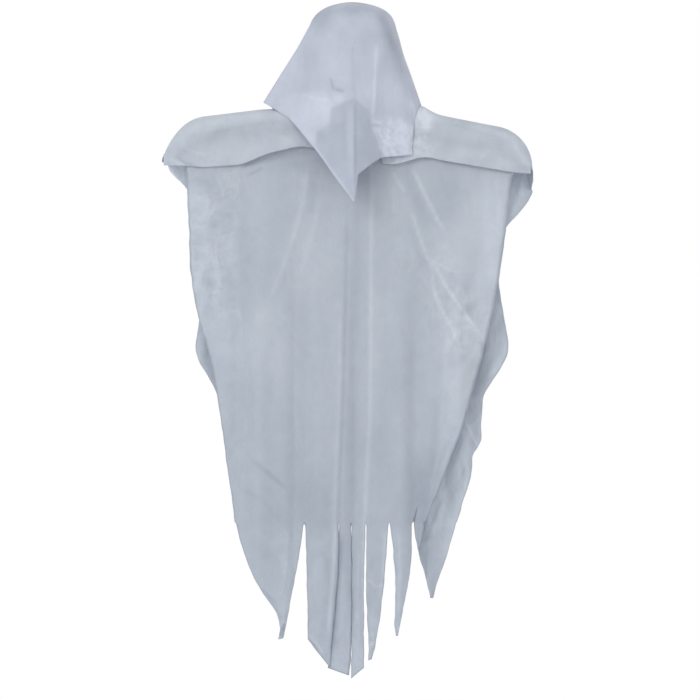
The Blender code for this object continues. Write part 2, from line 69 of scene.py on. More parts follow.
EARLY_SLIT_RISE = 0.021
ARCH_END_X = NECK_ARC_RADIUS * math.sin(BAR_SLOPE)
ARCH_RUN = NECK_ARC_RADIUS * BAR_SLOPE
SLOPE_WIDTH = BAR_HALF_SPAN - ARCH_END_X - SHOULDER_BEND_RADIUS * (1 - math.sin(BAR_SLOPE))
SLOPE_RUN = SLOPE_WIDTH / math.cos(BAR_SLOPE)
BEND_RUN = SHOULDER_BEND_RADIUS * (math.pi / 2 - BAR_SLOPE)
BEND_START = ARCH_RUN + SLOPE_RUN
BAR_HALF_LENGTH = BEND_START + BEND_RUN + BAR_END_DROP
SHOULDER_RUNS = [BEND_START + BEND_RUN * k / 4 for k in range(5)] + [BAR_HALF_LENGTH]

# How the cloth hangs
SPREAD_DROP = 0.04
SPREAD_DROP_MIDDLE = 1.25
COLUMN_SPREAD = 1.7
ROW_CROWDING = 1.15
EDGE_BLUR = 0.008
STRIP_EDGE_BLUR = 0.12
STRIP_BOW = 0.35
FOLD_INWARD = 0.6
FOLD_SPACING = 0.085
SIDE_CURL = 0.005
CURL_REACH = 0.15
RAGGED = 0.0004
RAGGED_SIZE = 0.022
# Each slit gapes a little just below its top, so that strips that overlap lower down part there first. Both
# lengths are shares of the strip's
SLIT_GAPE = 0.0006
SLIT_GAPE_START = 0.02
SLIT_GAPE_REACH = 0.07
# The flap stands out towards its hem, less so past a place far on the left
FLAP_FLARE = 0.0045
FLARE_LESS = 0.35
FLARE_LESS_AT = -0.13
FLARE_LESS_REACH = 0.04
FLAP_LEAST_DROP = 0.003
# The flap's cloth is puffed up round the roll past the hood, and falls back below it
ROLL_BULGE = 0.003
ROLL_BULGE_REACH = 0.011
ROLL_BULGE_AT = 0.095
ROLL_BULGE_GROWS = 0.03
# The flap's slit at the neck goes over the roll and ends this many degrees behind its top
NECK_CLEARANCE = 0.004
NECK_SLIT_BACK = 60.0
NECK_SLIT_CLOSING = 30.0
# At the roll's ends the cloth is longer, over the roll and behind it, and stands off to the side by a share
# of its own radius and a flare. The power says how that grows towards the edge. On the left the puff is flatter
RollEnd = namedtuple("RollEnd", "longer_over longer_behind flare power")
LEFT_END = RollEnd(0.006, 0.004, 0.012, 2.0)
RIGHT_END = RollEnd(0.018, 0.02, 0.004, 1.0)
END_STAND = 0.85
LEFT_END_FLATTER = 0.7
# How much painted shade darkens cut edges: all round, on the sides of strips, and as a painted contact shadow
# where the hem lies on other cloth
RIM_PAINTED_SHADE = 0.3
STRIP_RIM = 0.6
LYING_RIM = 0.3

# Hem of the flap over the shoulders, left and right of the neck: (x, drop below the bar's centre at the neck)
FLAP_HEM_LEFT = (
    (-0.25, 0.0665), (-0.228, 0.0715), (-0.2, 0.0745), (-0.147, 0.071), (-0.112, 0.056), (-0.069, 0.046),
    (-0.048, 0.049),
)
FLAP_HEM_RIGHT = (
    (0.041, 0.069), (0.057, 0.071), (0.095, 0.06), (0.124, 0.066), (0.19, 0.077), (0.24, 0.086),
)
# The opening between the flap's halves, left and right of the neck, from the bar down to the hem
FLAP_OPENING_LEFT = (0.028, 0.034, 0.048, 0.048)
FLAP_OPENING_RIGHT = (0.013, 0.024, 0.034, 0.041)

# Side edges of the sheets: (drop below the bar's centre at the neck, how far inside the bar's half span)
FRONT_LEFT_INSET = (
    (0.056, 0.0), (0.091, 0.004), (0.206, 0.008), (0.238, 0.012), (0.27, 0.018), (0.309, 0.03),
    (0.34, 0.038), (0.377, 0.044), (0.441, 0.053), (0.55, 0.068),
)
FRONT_RIGHT_INSET = (
    (0.056, 0.0), (0.072, 0.009), (0.118, 0.014), (0.165, 0.02), (0.212, 0.026), (0.267, 0.036),
    (0.325, 0.05), (0.382, 0.066), (0.421, 0.077), (0.455, 0.09), (0.494, 0.104), (0.55, 0.127),
)
BACK_LEFT_INSET = (
    (0.056, -0.008), (0.071, -0.026), (0.081, -0.019), (0.1, 0.004), (0.156, 0.02), (0.246, 0.022),
    (0.281, 0.019), (0.313, 0.013), (0.334, 0.019), (0.356, 0.034), (0.416, 0.06), (0.55, 0.085),
)
BACK_RIGHT_INSET = (
    (0.056, -0.012), (0.101, -0.0225), (0.107, -0.0165), (0.123, -0.01), (0.153, 0.019), (0.164, 0.0225),
    (0.217, 0.028), (0.249, 0.025), (0.313, 0.013), (0.334, 0.02), (0.377, 0.048), (0.425, 0.0515),
    (0.442, 0.049), (0.452, 0.062), (0.462, 0.0625), (0.494, 0.065), (0.5, 0.069), (0.55, 0.084),
)

# A strip of the cut hem: how many coarse columns, x of its left and of its right edge at even steps from the
# slits to the tip, the drop of its two bottom corners below the slits, and how far it stands out
Strip = namedtuple("Strip", "columns left right drops stand")
FRONT_STRIPS = (
    Strip(7, (-0.1555, -0.149, -0.14, -0.13, -0.1125, -0.0915, -0.0985),
          (-0.0633, -0.068, -0.071, -0.077, -0.081, -0.0862, -0.0915), (0.156, 0.154), 0.004),
    Strip(3, (-0.0633, -0.061, -0.061, -0.06, -0.059, -0.059, -0.059),
          (-0.0173, -0.0175, -0.018, -0.021, -0.024, -0.027, -0.03), (0.156, 0.193), 0.0027),
    Strip(2, (-0.0173, -0.019, -0.02, -0.0225, -0.0255, -0.0285, -0.032),
          (-0.0013, 0.0002, 0.0011, 0.0012, 0.001, -0.001, -0.004), (0.194, 0.204), 0.0),
    Strip(2, (-0.0013, 0.0, 0.0, 0.0, 0.0, -0.001, -0.001),
          (0.0187, 0.017, 0.016, 0.016, 0.016, 0.016, 0.016), (0.208, 0.194), 0.0023),
    Strip(3, (0.0187, 0.019, 0.019, 0.019, 0.02, 0.022, 0.022),
          (0.0493, 0.046, 0.0445, 0.0415, 0.038, 0.0345, 0.026), (0.184, 0.182), 0.005),
    Strip(3, (0.0493, 0.054, 0.056, 0.058, 0.058, 0.056, 0.058),
          (0.08, 0.079, 0.079, 0.076, 0.071, 0.066, 0.061), (0.151, 0.151), 0.003),
    Strip(3, (0.082, 0.083, 0.083, 0.084, 0.085, 0.086, 0.087),
          (0.0965, 0.096, 0.095, 0.094, 0.092, 0.091, 0.089), (0.036, 0.036), 0.0),
)
BACK_STRIPS = (
    Strip(6, (-0.1385, -0.134, -0.126, -0.118, -0.108, -0.098, -0.092),
          (-0.066, -0.072, -0.075, -0.079, -0.083, -0.086, -0.088), (0.116, 0.114), 0.004),
    Strip(3, (-0.066, -0.055, -0.053, -0.052, -0.05, -0.05, -0.049),
          (-0.018, -0.022, -0.026, -0.03, -0.032, -0.035, -0.038), (0.134, 0.14), 0.0),
    Strip(2, (-0.018, -0.014, -0.013, -0.012, -0.012, -0.011, -0.011),
          (0.0007, -0.004, -0.004, -0.005, -0.005, -0.005, -0.006), (0.154, 0.144), 0.003),
    Strip(2, (0.0007, 0.003, 0.003, 0.004, 0.004, 0.004, 0.005),
          (0.018, 0.015, 0.014, 0.013, 0.012, 0.012, 0.011), (0.154, 0.162), 0.0),
    Strip(3, (0.018, 0.021, 0.022, 0.023, 0.024, 0.025, 0.026),
          (0.05, 0.043, 0.041, 0.039, 0.037, 0.035, 0.033), (0.129, 0.124), 0.002),
    Strip(3, (0.05, 0.057, 0.059, 0.06, 0.06, 0.061, 0.062),
          (0.08, 0.077, 0.075, 0.072, 0.07, 0.068, 0.066), (0.114, 0.119), 0.0),
    Strip(5, (0.082, 0.084, 0.087, 0.091, 0.097, 0.101, 0.105),
          (0.1405, 0.135, 0.13, 0.125, 0.119, 0.112, 0.108), (0.103, 0.103), 0.004),
)

# Hood hem where it hangs clear: (x, how far it stands out from the cloth over the bar, drop below the bar's
# centre at the neck), and x where it lies over the shoulders, behind, on top and in front
HOOD_FRONT_HEM = (
    (-0.064, 0.016, 0.033), (-0.048, 0.026, 0.053), (0.003, 0.052, 0.1235), (0.008, 0.048, 0.0855),
    (0.021, 0.04, 0.075), (0.039, 0.023, 0.062), (0.079, 0.008, 0.058),
)
HOOD_BACK_HEM = (
    (0.07, 0.019, 0.026), (0.035, 0.042, 0.064), (0.0, 0.063, 0.116), (-0.04, 0.041, 0.069),
    (-0.07, 0.021, 0.034),
)
HOOD_ON_LEFT = (-0.092, -0.116, -0.084)
HOOD_ON_RIGHT = (0.09, 0.089, 0.082)
HOOD_FOLD_DEPTH = 0.003
HOOD_FOLDS = 5
CROWN_SWELL = 0.0045
CROWN_SWELL_LEAN = 0.0015
BROW_SWELL = 0.0034
LEFT_CORNER_RISE = 0.0095
# Right of the neck the flap is bunched up, and the hood's corner lies on the bunch
BUNCH_RISE = 0.01
BUNCH_AT = 0.0895
BUNCH_REACH = 0.018
NECK_BUNCH_HEIGHT = 0.0013

# Finest columns and rows
COLUMN_PITCH = 0.0021
HANG_ROWS = 224
EARLY_ROWS = 8
STRIP_ROWS = 74
FLAP_ROWS = 34
OVER_BAR_ROWS = 24
STUCK_ROWS = 8
HOOD_COLUMNS = 250
CROWN_ROWS = 52
SKIRT_ROWS = 92
ROLL_ROWS = 130
ROLL_END_ROWS = 8
ROLL_SIDES = 48

# The foam roll's rounded edge, its unevenness, and the hole in its top for the peg
ROLL_EDGE = 0.004
ROLL_UNEVEN = 0.00015
ROLL_HOLE_GAP = 0.0016
ROLL_HOLE_DEPTH = 0.0155

Sheet = namedtuple("Sheet", "strips left_inset right_inset folds flat_edge shift stand_off")
FRONT = Sheet(FRONT_STRIPS, FRONT_LEFT_INSET, FRONT_RIGHT_INSET, 0.006, 0.0, 3.7, 0.0)
BACK = Sheet(BACK_STRIPS, BACK_LEFT_INSET, BACK_RIGHT_INSET, 0.007, 0.8, 2.4, 0.006)


def eased(share):
    """0 to 1, level at both ends: s squared times (3 minus twice s)."""
    share = np.clip(share, 0.0, 1.0)
    return share * share * (3 - 2 * share)


def bell(distance, width):
    """1 in the middle and fading to both sides: e to the minus (distance over width) squared."""
    return np.exp(-((distance / width) ** 2))


def read_points(points, at, blur=0.0):
    """The second number of a list of points, along their first. A blur rounds the list's corners: the
    result is then the mean of five readings that are spread over it."""
    places, values = zip(*points)
    return np.mean([np.interp(at + blur * k / 2, places, values) for k in range(-2, 3)], axis=0)


def read_steps(values, share):
    """A value from a list that is spread evenly over 0 to 1, with its corners rounded except at both ends."""
    points = list(zip(np.linspace(0.0, 1.0, len(values)), values))
    return read_points(points, share, np.minimum(STRIP_EDGE_BLUR, np.minimum(share, 1 - share)))


def near_path(x, z, path):
    """How far each place is from a path in millimetres, given in metres, and how far along it, 0 to 1: for
    each straight piece the foot of the place on it is found, and the nearest piece counts."""
    nearest, along = np.full(np.shape(x), np.inf), np.zeros(np.shape(x))
    ends = np.array(path) * MM
    lengths = np.hypot(*np.diff(ends, axis=0).T)
    done = np.concatenate([[0.0], np.cumsum(lengths)]) / lengths.sum()
    for (ax, az), (bx, bz), first, last in zip(ends, ends[1:], done, done[1:]):
        dx, dz = bx - ax, bz - az
        share = np.clip(((x - ax) * dx + (z - az) * dz) / (dx * dx + dz * dz), 0.0, 1.0)
        distance = np.hypot(x - ax - share * dx, z - az - share * dz)
        along = np.where(distance < nearest, first + (last - first) * share, along)
        nearest = np.minimum(nearest, distance)
    return nearest, along


def crease(x, z, path, width, fade=0.15):
    """A pressed or pulled line in the cloth: a bell across the path, fading out towards both its ends."""
    distance, along = near_path(x, z, path)
    return bell(distance, width) * eased(np.minimum(along, 1 - along) / fade)


def within(x, z, outline, soft):
    """1 inside a closed outline in millimetres and 0 outside, changing over a soft rim: the distance to the
    outline counts as positive where a ray to the right crosses it an odd number of times."""
    distance, _ = near_path(x, z, outline + outline[:1])
    inside = np.zeros(np.shape(x), bool)
    ends = np.array(outline + outline[:1]) * MM
    for (ax, az), (bx, bz) in zip(ends, ends[1:]):
        crossed = (az > z) != (bz > z)
        inside ^= crossed & (x < ax + (z - az) * (bx - ax) / (bz - az + 1e-12))
    return eased(0.5 + np.where(inside, distance, -distance) / soft)


def waves(x, z, size, seed, stretch=1.0):
    """Uneven soft waves about one size across, mostly -1 to 1: the sum of ten sines in random directions.
    A stretch above 1 draws them out along z."""
    rng = np.random.default_rng(seed)
    total = 0.0
    for angle, turn, scale in rng.uniform((0.0, 0.0, 0.7), (math.pi, 2 * math.pi, 1.5), (10, 3)):
        along = x * math.cos(angle) + z * math.sin(angle) / stretch
        total = total + np.sin(2 * math.pi * along / (size * scale) + turn)
    return total / math.sqrt(10)


def crumples(x, z, size, seed, turn=0.0, stretch=1.0):
    """Crumpled cloth with sharp ridges between flat facets, about -0.6 to 1: one minus the size of waves that
    cross zero along the ridges, at one size and at half of it. The ridges run along z turned by an angle."""
    along, across = x * math.cos(turn) - z * math.sin(turn), x * math.sin(turn) + z * math.cos(turn)
    ridges = 0.0
    for share, part in ((1.0, 0.65), (0.5, 0.35)):
        ridges = ridges + part * (1 - 1.6 * np.abs(waves(along, across, share * 2 * size, seed, stretch)))
        seed += 1
    return ridges


def bar_line(run):
    """The shoulder roll's centreline at a signed length from the neck: x, z and the two parts of the way out
    of its bend. An arch of constant radius at the neck, then a straight slope, then a bend of constant radius
    down to a short upright end, all tilted by a small angle."""
    side, run = np.where(run < 0, -1.0, 1.0), np.abs(run)
    arched = np.minimum(run, ARCH_RUN) / NECK_ARC_RADIUS
    sloping = np.clip(run - ARCH_RUN, 0.0, SLOPE_RUN)
    bent = np.clip(run - BEND_START, 0.0, BEND_RUN) / SHOULDER_BEND_RADIUS
    turn = arched + bent
    x = NECK_ARC_RADIUS * np.sin(arched) + sloping * math.cos(BAR_SLOPE)
    z = NECK_ARC_RADIUS * (np.cos(arched) - 1) - sloping * math.sin(BAR_SLOPE)
    x = x + SHOULDER_BEND_RADIUS * (np.sin(BAR_SLOPE + bent) - math.sin(BAR_SLOPE))
    z = z + SHOULDER_BEND_RADIUS * (np.cos(BAR_SLOPE + bent) - math.cos(BAR_SLOPE))
    z = z - np.maximum(run - BEND_START - BEND_RUN, 0.0)
    cos, sin = math.cos(BAR_TILT), math.sin(BAR_TILT)
    x, out_x, out_z = side * x, side * np.sin(turn), np.cos(turn)
    x, z = x * cos + z * sin, z * cos - x * sin + BAR_CENTRE_Z
    return x, z, out_x * cos + out_z * sin, out_z * cos - out_x * sin


def round_bar(run, radius, forward):
    """Points round the roll's centreline: the centre, plus the radius times the cosine of the forward angle
    out of the bend and its sine to the front."""
    x, z, out_x, out_z = bar_line(run)
    across = radius * np.cos(forward)
    return np.stack(np.broadcast_arrays(x + across * out_x, -radius * np.sin(forward), z + across * out_z), -1)


def run_at(x):
    """The length along the roll at which its sloping part has this x."""
    side, level = np.sign(x), np.abs(x)
    drop = math.tan(BAR_SLOPE) * np.maximum(level - ARCH_END_X, 0.0)
    level = level / math.cos(BAR_TILT) + side * drop * math.sin(BAR_TILT)
    return side * (ARCH_RUN + (level - ARCH_END_X) / math.cos(BAR_SLOPE))


def below_bar(drop, reach):
    """0 beside the roll, and rising to 1 within a reach below its turned-down ends."""
    return eased((drop - BAR_END_LEVEL) / reach)


Columns = namedtuple("Columns", "at across strip run edge share slits")


def columns_of(sheet):
    """The fine columns of a sheet. Where two strips meet there are two columns, one for each side of the
    slit. Along the roll, the outer columns lie on its bend and the rest are spread between its bends."""
    at, across, strip, slits = [], [], [], []
    last = sheet.strips[0].left[0]
    for number, cut in enumerate(sheet.strips):
        count = max(4, round((cut.right[0] - last) / COLUMN_PITCH))
        shares = np.linspace(0.0, 1.0, count + 1)
        at.append(last + (cut.right[0] - last) * shares)
        across.append(shares)
        strip.append(np.full(count + 1, number))
        last = cut.right[0]
        slits.append(sum(map(len, at)) - 1)
    at, across, strip = (np.concatenate(parts) for parts in (at, across, strip))
    coarse = [sheet.strips[0].left[0]]
    for cut in sheet.strips:
        coarse += list(np.linspace(cut.left[0], cut.right[0], cut.columns + 1)[1:])
    ends = len(SHOULDER_RUNS)
    inner = np.where(at < 0, coarse[ends - 1], coarse[-ends])
    run = at + (np.sign(at) * BEND_START - inner) * np.abs(at / inner) ** COLUMN_SPREAD
    left = np.interp(at, coarse[:ends], [-r for r in reversed(SHOULDER_RUNS)])
    right = np.interp(at, coarse[-ends:], SHOULDER_RUNS)
    run = np.where(at < coarse[ends - 1], left, np.where(at > coarse[-ends], right, run))
    edge = np.where(at < 0, at[0], at[-1])
    return Columns(at, across, strip, run, edge, np.abs(at / edge), slits[:-1])


def edge_at(sheet, at, drop):
    """x of a sheet's side edge at a drop below the roll's centre, on the side that each column lies on."""
    left = read_points(sheet.left_inset, drop, EDGE_BLUR) - BAR_HALF_SPAN
    return np.where(at < 0, left, BAR_HALF_SPAN - read_points(sheet.right_inset, drop, EDGE_BLUR))


def flap_hem(x, blur=0.0):
    """The drop of the flap's hem below the roll's centre, left and right of the neck."""
    return np.where(x < 0, read_points(FLAP_HEM_LEFT, x, blur), read_points(FLAP_HEM_RIGHT, x, blur))


def stand_out(sheet, x, share, drop):
    """How far a sheet stands out from the roll's side: two soft waves across it that grow with the drop, a
    curl of its side edges by the sixth power of the share from the middle, and a steady part."""
    full = below_bar(drop, SLIT_DROP * 0.5)
    turn = 2 * math.pi * x / FOLD_SPACING + sheet.shift
    wave = (np.sin(turn) + 0.5 * np.sin(2.2 * turn + 1.3)) / 1.5
    fold = sheet.folds * full * np.maximum(wave, -FOLD_INWARD) * (1 - sheet.flat_edge * share**4)
    return fold - SIDE_CURL * below_bar(drop, CURL_REACH) * share**6 + sheet.stand_off * full


def hang(sheet, columns, top):
    """x, z and stand-out of the cloth below the roll, row by row. Down to the slits, each column runs from
    its place on the roll towards its share of the sheet's width, which follows the side edges. Below them
    it keeps its share of the width of its own strip, and the rows fan out to the strip's slanted end."""
    top_x, top_z = top[:, 0], top[:, 2]
    early_z = SLIT_Z + EARLY_SLIT_RISE
    level = np.linspace(0.0, 1.0, HANG_ROWS + 1)[1:, None] ** ROW_CROWDING
    z = top_z + (early_z - top_z) * level
    opened = np.linspace(0.0, 1.0, EARLY_ROWS + 1)[1:, None]
    z = np.concatenate([z, early_z - EARLY_SLIT_RISE * opened + 0.0 * top_z])
    down = np.linspace(0.0, 1.0, STRIP_ROWS + 1)[:, None]
    left = np.concatenate([read_steps(cut.left, down) for cut in sheet.strips], 1)[:, columns.strip]
    right = np.concatenate([read_steps(cut.right, down) for cut in sheet.strips], 1)[:, columns.strip]
    gape = SLIT_GAPE * np.minimum(down / SLIT_GAPE_START, 1.0)
    gape = gape * bell(np.maximum(down - SLIT_GAPE_START, 0.0), SLIT_GAPE_REACH)
    strip_x = (left + gape) * (1 - columns.across) + (right - gape) * columns.across
    drops = np.array([cut.drops for cut in sheet.strips])[columns.strip]
    strip_z = SLIT_Z - down * (drops[:, 0] * (1 - columns.across) + drops[:, 1] * columns.across)
    wider = edge_at(sheet, columns.at, BAR_CENTRE_Z - z) - columns.edge
    x = columns.at + wider * columns.share**COLUMN_SPREAD
    reach = SPREAD_DROP * (SPREAD_DROP_MIDDLE - columns.share**4)
    x = top_x + (x - top_x) * eased((top_z - z) / reach)
    x[-EARLY_ROWS:] += opened * (strip_x[0] - columns.at)
    stand = np.array([cut.stand for cut in sheet.strips])[columns.strip]
    stand = stand * (1 - STRIP_BOW + STRIP_BOW * np.sin(math.pi * columns.across)) * eased(5 * down[1:])
    x, z = np.concatenate([x, strip_x[1:]]), np.concatenate([z, strip_z[1:]])
    # The cut edges are a little ragged, each in its own way
    left = waves(0.23 * columns.strip, z[-STRIP_ROWS:], RAGGED_SIZE, 51) * (1 - columns.across)
    right = waves(0.23 * columns.strip + 0.11, z[-STRIP_ROWS:], RAGGED_SIZE, 51) * columns.across
    x[-STRIP_ROWS:] += RAGGED * (left + right) * eased(3 * down[1:])
    side = waves(np.sign(columns.at), z[:-STRIP_ROWS], RAGGED_SIZE, 52)
    x[:-STRIP_ROWS] += RAGGED * columns.share**8 * side
    out = stand_out(sheet, x, columns.share, BAR_CENTRE_Z - z)
    out[-STRIP_ROWS:] += stand
    return x, z, out


def new_object(name, data):
    """An object with this mesh, lamp or camera, put in the scene."""
    made = bpy.data.objects.new(name, data)
    bpy.context.scene.collection.objects.link(made)
    return made


def cloth_piece(name, points, weld, flat, poles=False, **values):
    """A sheet's mesh from its grid of points. weld gives for each point the one that it shares its place
    with, quads with no width are left out, and flat is each point's place on the cloth laid flat."""
    rows, columns = points.shape[:2]
    index = np.arange(rows * columns).reshape(rows, columns)
    quads = np.stack([index[:-1, :-1], index[1:, :-1], index[1:, 1:], index[:-1, 1:]], -1)
    caps = quads[0][:, :3] if poles else np.zeros((0, 3), int)
    quads = (quads[1:] if poles else quads).reshape(-1, 4)
    # The two sides of a slit stand on the same column of the cloth, so nothing is woven between them
    width = np.abs(flat[..., 0].ravel()[quads[:, 3]] - flat[..., 0].ravel()[quads[:, 0]])
    quads = quads if poles else quads[width > 1e-9]
    corners = np.concatenate([caps.ravel(), quads.ravel()])
    used, vertices = np.unique(weld.ravel()[corners], return_inverse=True)
    faces = vertices[: caps.size].reshape(-1, 3).tolist() + vertices[caps.size:].reshape(-1, 4).tolist()
    mesh = bpy.data.meshes.new(name)
    mesh.from_pydata(points.reshape(-1, 3)[used].tolist(), [], faces)
    laid = mesh.uv_layers.new(name="laid flat")
    laid.data.foreach_set("uv", flat.reshape(-1, 2)[corners].ravel())
    for label, value in values.items():
        mesh.attributes.new(label, "FLOAT", "POINT").data.foreach_set("value", np.ravel(value)[used])
    mesh.shade_smooth()
    piece = new_object(name, mesh)
    thickness = piece.modifiers.new("cloth", "SOLIDIFY")
    thickness.thickness = CLOTH
    thickness.offset = 0.0
    return piece


def cloth_above(points):
    """The length of cloth above each point, along its column."""
    steps = np.linalg.norm(np.diff(points, axis=0), axis=2)
    return np.concatenate([np.zeros((1, points.shape[1])), np.cumsum(steps, axis=0)])


def laid_flat(points, run):
    """Each point's place on the cloth laid flat: its column's place along the roll and the cloth above."""
    length = cloth_above(points)
    return np.stack([np.broadcast_to(run, length.shape), -length], -1)


def slit_welds(shape, columns, first_row, neck=None):
    """The point that each point of a sheet shares its place with: the right side of a slit is sewn to the
    left one down to the slit's top, and at the neck below the neck's slit only."""
    weld = np.arange(shape[0] * shape[1]).reshape(shape)
    for column in columns.slits:
        start = neck[1] if neck and column == neck[0] else 0
        stop = first_row - (EARLY_ROWS if column == columns.slits[-1] else 0)
        weld[start:stop, column + 1] = weld[start:stop, column]
    return weld


# Pulled and pressed lines in the front sheet: path, half width and height in mm, and how much paler they are,
# as a painted highlight along a crest, painted shade along a hollow, or a painted shadow under the flap's hem
FRONT_LINES = (
    (((80, -219), (91, -245), (104, -271), (115, -293), (125, -309)), 2.6, 1.8, 0.3),
    (((69, -219), (81, -251), (95, -283), (104, -307)), 8.0, -1.2, -0.14),
    (((79, -277), (88, -307), (97, -333), (107, -355)), 2.3, 1.5, 0.25),
    (((71, -284), (81, -317), (93, -347)), 5.0, -0.6, -0.06),
    (((109, -349), (123, -376), (141, -403), (168, -440)), 2.5, 2.0, 0.32),
    (((104, -371), (117, -405), (131, -432), (144, -461)), 2.5, 1.6, 0.26),
    (((112, -347), (131, -359), (141, -361)), 2.2, 1.0, 0.15),
    (((53, -225), (61, -240), (71, -255)), 2.4, 1.2, 0.2),
    (((55, -243), (56, -267), (57, -285)), 3.4, 0.8, 0.12),
    (((64, -309), (68, -331), (73, -349)), 4.0, 0.8, 0.1),
    (((-59, -219), (-61, -251), (-71, -293), (-83, -331), (-96, -368), (-113, -405)), 3.2, 1.2, 0.13),
    (((-40, -256), (-47, -293), (-59, -331), (-67, -371)), 4.2, 1.0, 0.09),
    (((-48, -219), (-51, -257), (-57, -288)), 6.0, -0.8, -0.12),
    (((27, -179), (25, -397), (23, -557), (17, -691), (15, -864)), 3.0, 1.5, 0.22),
    (((-5, -251), (-8, -397), (-11, -531), (-16, -637), (-19, -744)), 2.4, -1.2, -0.1),
    (((-15, -397), (-17, -531), (-21, -624), (-25, -717)), 3.2, 0.7, 0.12),
    (((7, -197), (7, -397), (5, -557), (3, -704)), 4.5, -0.7, -0.08),
    (((195, -224), (196, -304), (187, -384)), 3.0, 0.8, 0.1),
    (((176, -224), (180, -284), (176, -331)), 4.0, 0.6, 0.07),
    (((-136, -608), (-112, -627), (-85, -651)), 3.0, -1.2, -0.16),
    (((111, -520), (110, -580), (106, -640)), 7.0, 0.0, -0.12),
    (((21, -768), (32, -780), (44, -775)), 1.8, 1.2, 0.18),
    (((-90, -826), (-93, -836), (-96, -846)), 2.0, 0.6, -0.4),
    (((-160, -645), (-120, -664), (-89, -701)), 4.0, -0.6, -0.06),
    (((-21, -685), (-24, -750), (-28, -800), (-31, -851)), 2.8, 2.0, 0.26),
    (((-13, -700), (-18, -760), (-22, -820), (-27, -871)), 3.6, -1.0, -0.3),
    (((0, -780), (1, -831)), 1.6, -0.6, -0.34),
    (((-59, -843), (-46, -856), (-36, -871)), 2.0, 1.4, 0.22),
    (((-57, -849), (-42, -866)), 2.0, -1.0, -0.2),
    (((9, -720), (8, -790), (9, -860)), 2.2, 1.0, 0.12),
    (((46, -700), (42, -760), (36, -800)), 2.2, 1.0, 0.14),
    (((62, -700), (64, -760), (61, -820)), 2.4, 1.0, 0.12),
    (((-84, -700), (-87, -750), (-92, -790)), 2.4, 1.0, 0.05),
    (((-156, -220), (-120, -211), (-69, -201), (-45, -201)), 5.0, -0.6, -0.24),
    (((-140, -232), (-128, -227), (-118, -220)), 2.4, -0.8, -0.22),
)
# Places painted paler or darker: partly where the layers of cloth lie closer together or further apart, partly
# painted light and painted shade, such as the shadows of the flap and of the hood's tip: middle, half width and
# half height in mm, and how much paler they are
FRONT_PATCHES = (
    (157, -351, 40, 59, 0.15), (129, -264, 19, 40, -0.16), (148, -448, 27, 20, 0.17),
    (-173, -340, 16, 9, 0.13),
    (-196, -328, 8, 8, 0.1), (-183, -280, 19, 4, 0.08), (-149, -467, 53, 45, 0.1), (-117, -416, 12, 16, 0.16),
    (-141, -331, 11, 56, -0.09), (-45, -664, 37, 40, -0.14), (93, -648, 19, 56, -0.22),
    (184, -331, 11, 80, 0.1),
    (144, -515, 20, 48, 0.13), (-69, -216, 29, 11, -0.2), (19, -235, 13, 27, -0.3), (120, -377, 19, 32, 0.1),
    (-196, -251, 19, 16, 0.06), (-150, -610, 36, 90, -0.1),
    (160, -290, 24, 36, 0.17), (-29, -312, 40, 50, 0.07), (-183, -437, 24, 30, 0.08), (31, -750, 8, 60, -0.1),
    (-36, -771, 16, 50, -0.07),
)
# Small crumpled places on the strips: middle, half width and half height in mm
FRONT_CRUMPLED = ((28, -858, 10, 14), (60, -838, 6, 14), (-95, -832, 10, 10))
# Where the cloth is folded back on itself along its sides, and where it was bunched
LEFT_BAND = (
    (-250, -215), (-146, -215), (-150, -330), (-142, -480), (-141, -640), (-149, -700), (-190, -700),
    (-260, -400),
)
RIGHT_BAND = (
    (240, -205), (215, -217), (186, -300), (160, -380), (124, -424), (120, -520), (110, -620), (96, -700),
    (120, -760), (240, -500),
)
NECK_BUNCH = (
    (34, -162), (52, -155), (76, -160), (86, -172), (96, -146), (112, -150), (106, -178), (106, -208),
    (80, -220), (50, -222), (38, -208), (31, -184),
)
# The back sheet's lines and patches, and the flap's lines and patches, as for the front sheet: partly painted
# light and painted shade, such as a painted highlight along the roll's top on the right, and painted light that
# lifts the shade on the flap below the hood and on the back sheet beside the front sheet's edge
BACK_LINES = (
    (((150, -556), (160, -580), (170, -596)), 2.2, 1.4, 0.14),
    (((158, -566), (166, -560), (172, -548)), 2.0, 1.2, 0.12),
    (((146, -600), (153, -625), (150, -655)), 2.4, 1.4, 0.14),
    (((191, -330), (202, -370), (200, -420)), 2.4, 1.2, 0.12),
    (((120, -660), (104, -700), (98, -724)), 3.0, -1.2, -0.14),
    (((228, -235), (222, -262), (208, -290)), 2.4, 1.0, 0.1),
)
BACK_PATCHES = (
    (-237, -228, 22, 16, 0.7), (-203, -455, 18, 55, 0.14), (218, -262, 26, 44, 0.26), (112, -680, 16, 50, 0.2),
    (113, -748, 22, 46, -0.22), (151, -584, 14, 34, 0.1),
)
FLAP_LINES = (
    (((146, -166), (185, -173), (211, -183), (223, -197)), 5.0, 0.5, 0.13),
    (((-224, -178), (-205, -166), (-180, -159), (-140, -153), (-106, -149)), 5.0, 0.4, 0.1),
    (((-196, -178), (-149, -167), (-83, -159)), 3.0, -0.6, -0.1),
    (((131, -164), (171, -174), (197, -182)), 3.0, -0.6, -0.1),
    (((-228, -190), (-212, -200), (-190, -207)), 2.4, 1.2, 0.12),
    (((-235, -205), (-222, -216), (-205, -222)), 2.2, -1.4, -0.18),
    (((-243, -211), (-231, -214), (-220, -221)), 2.0, 1.4, 0.2),
    (((81, -149), (93, -158), (104, -172)), 2.0, 1.8, 0.3),
    (((95, -147), (100, -160), (96, -176)), 1.8, 1.4, 0.24),
    (((215, -190), (226, -206), (232, -221)), 3.0, 0.8, 0.1),
    (((99, -203), (93, -219)), 2.6, 0.8, 0.12),
    (((-120, -171), (-100, -181), (-76, -186)), 2.6, 0.8, 0.08),
)
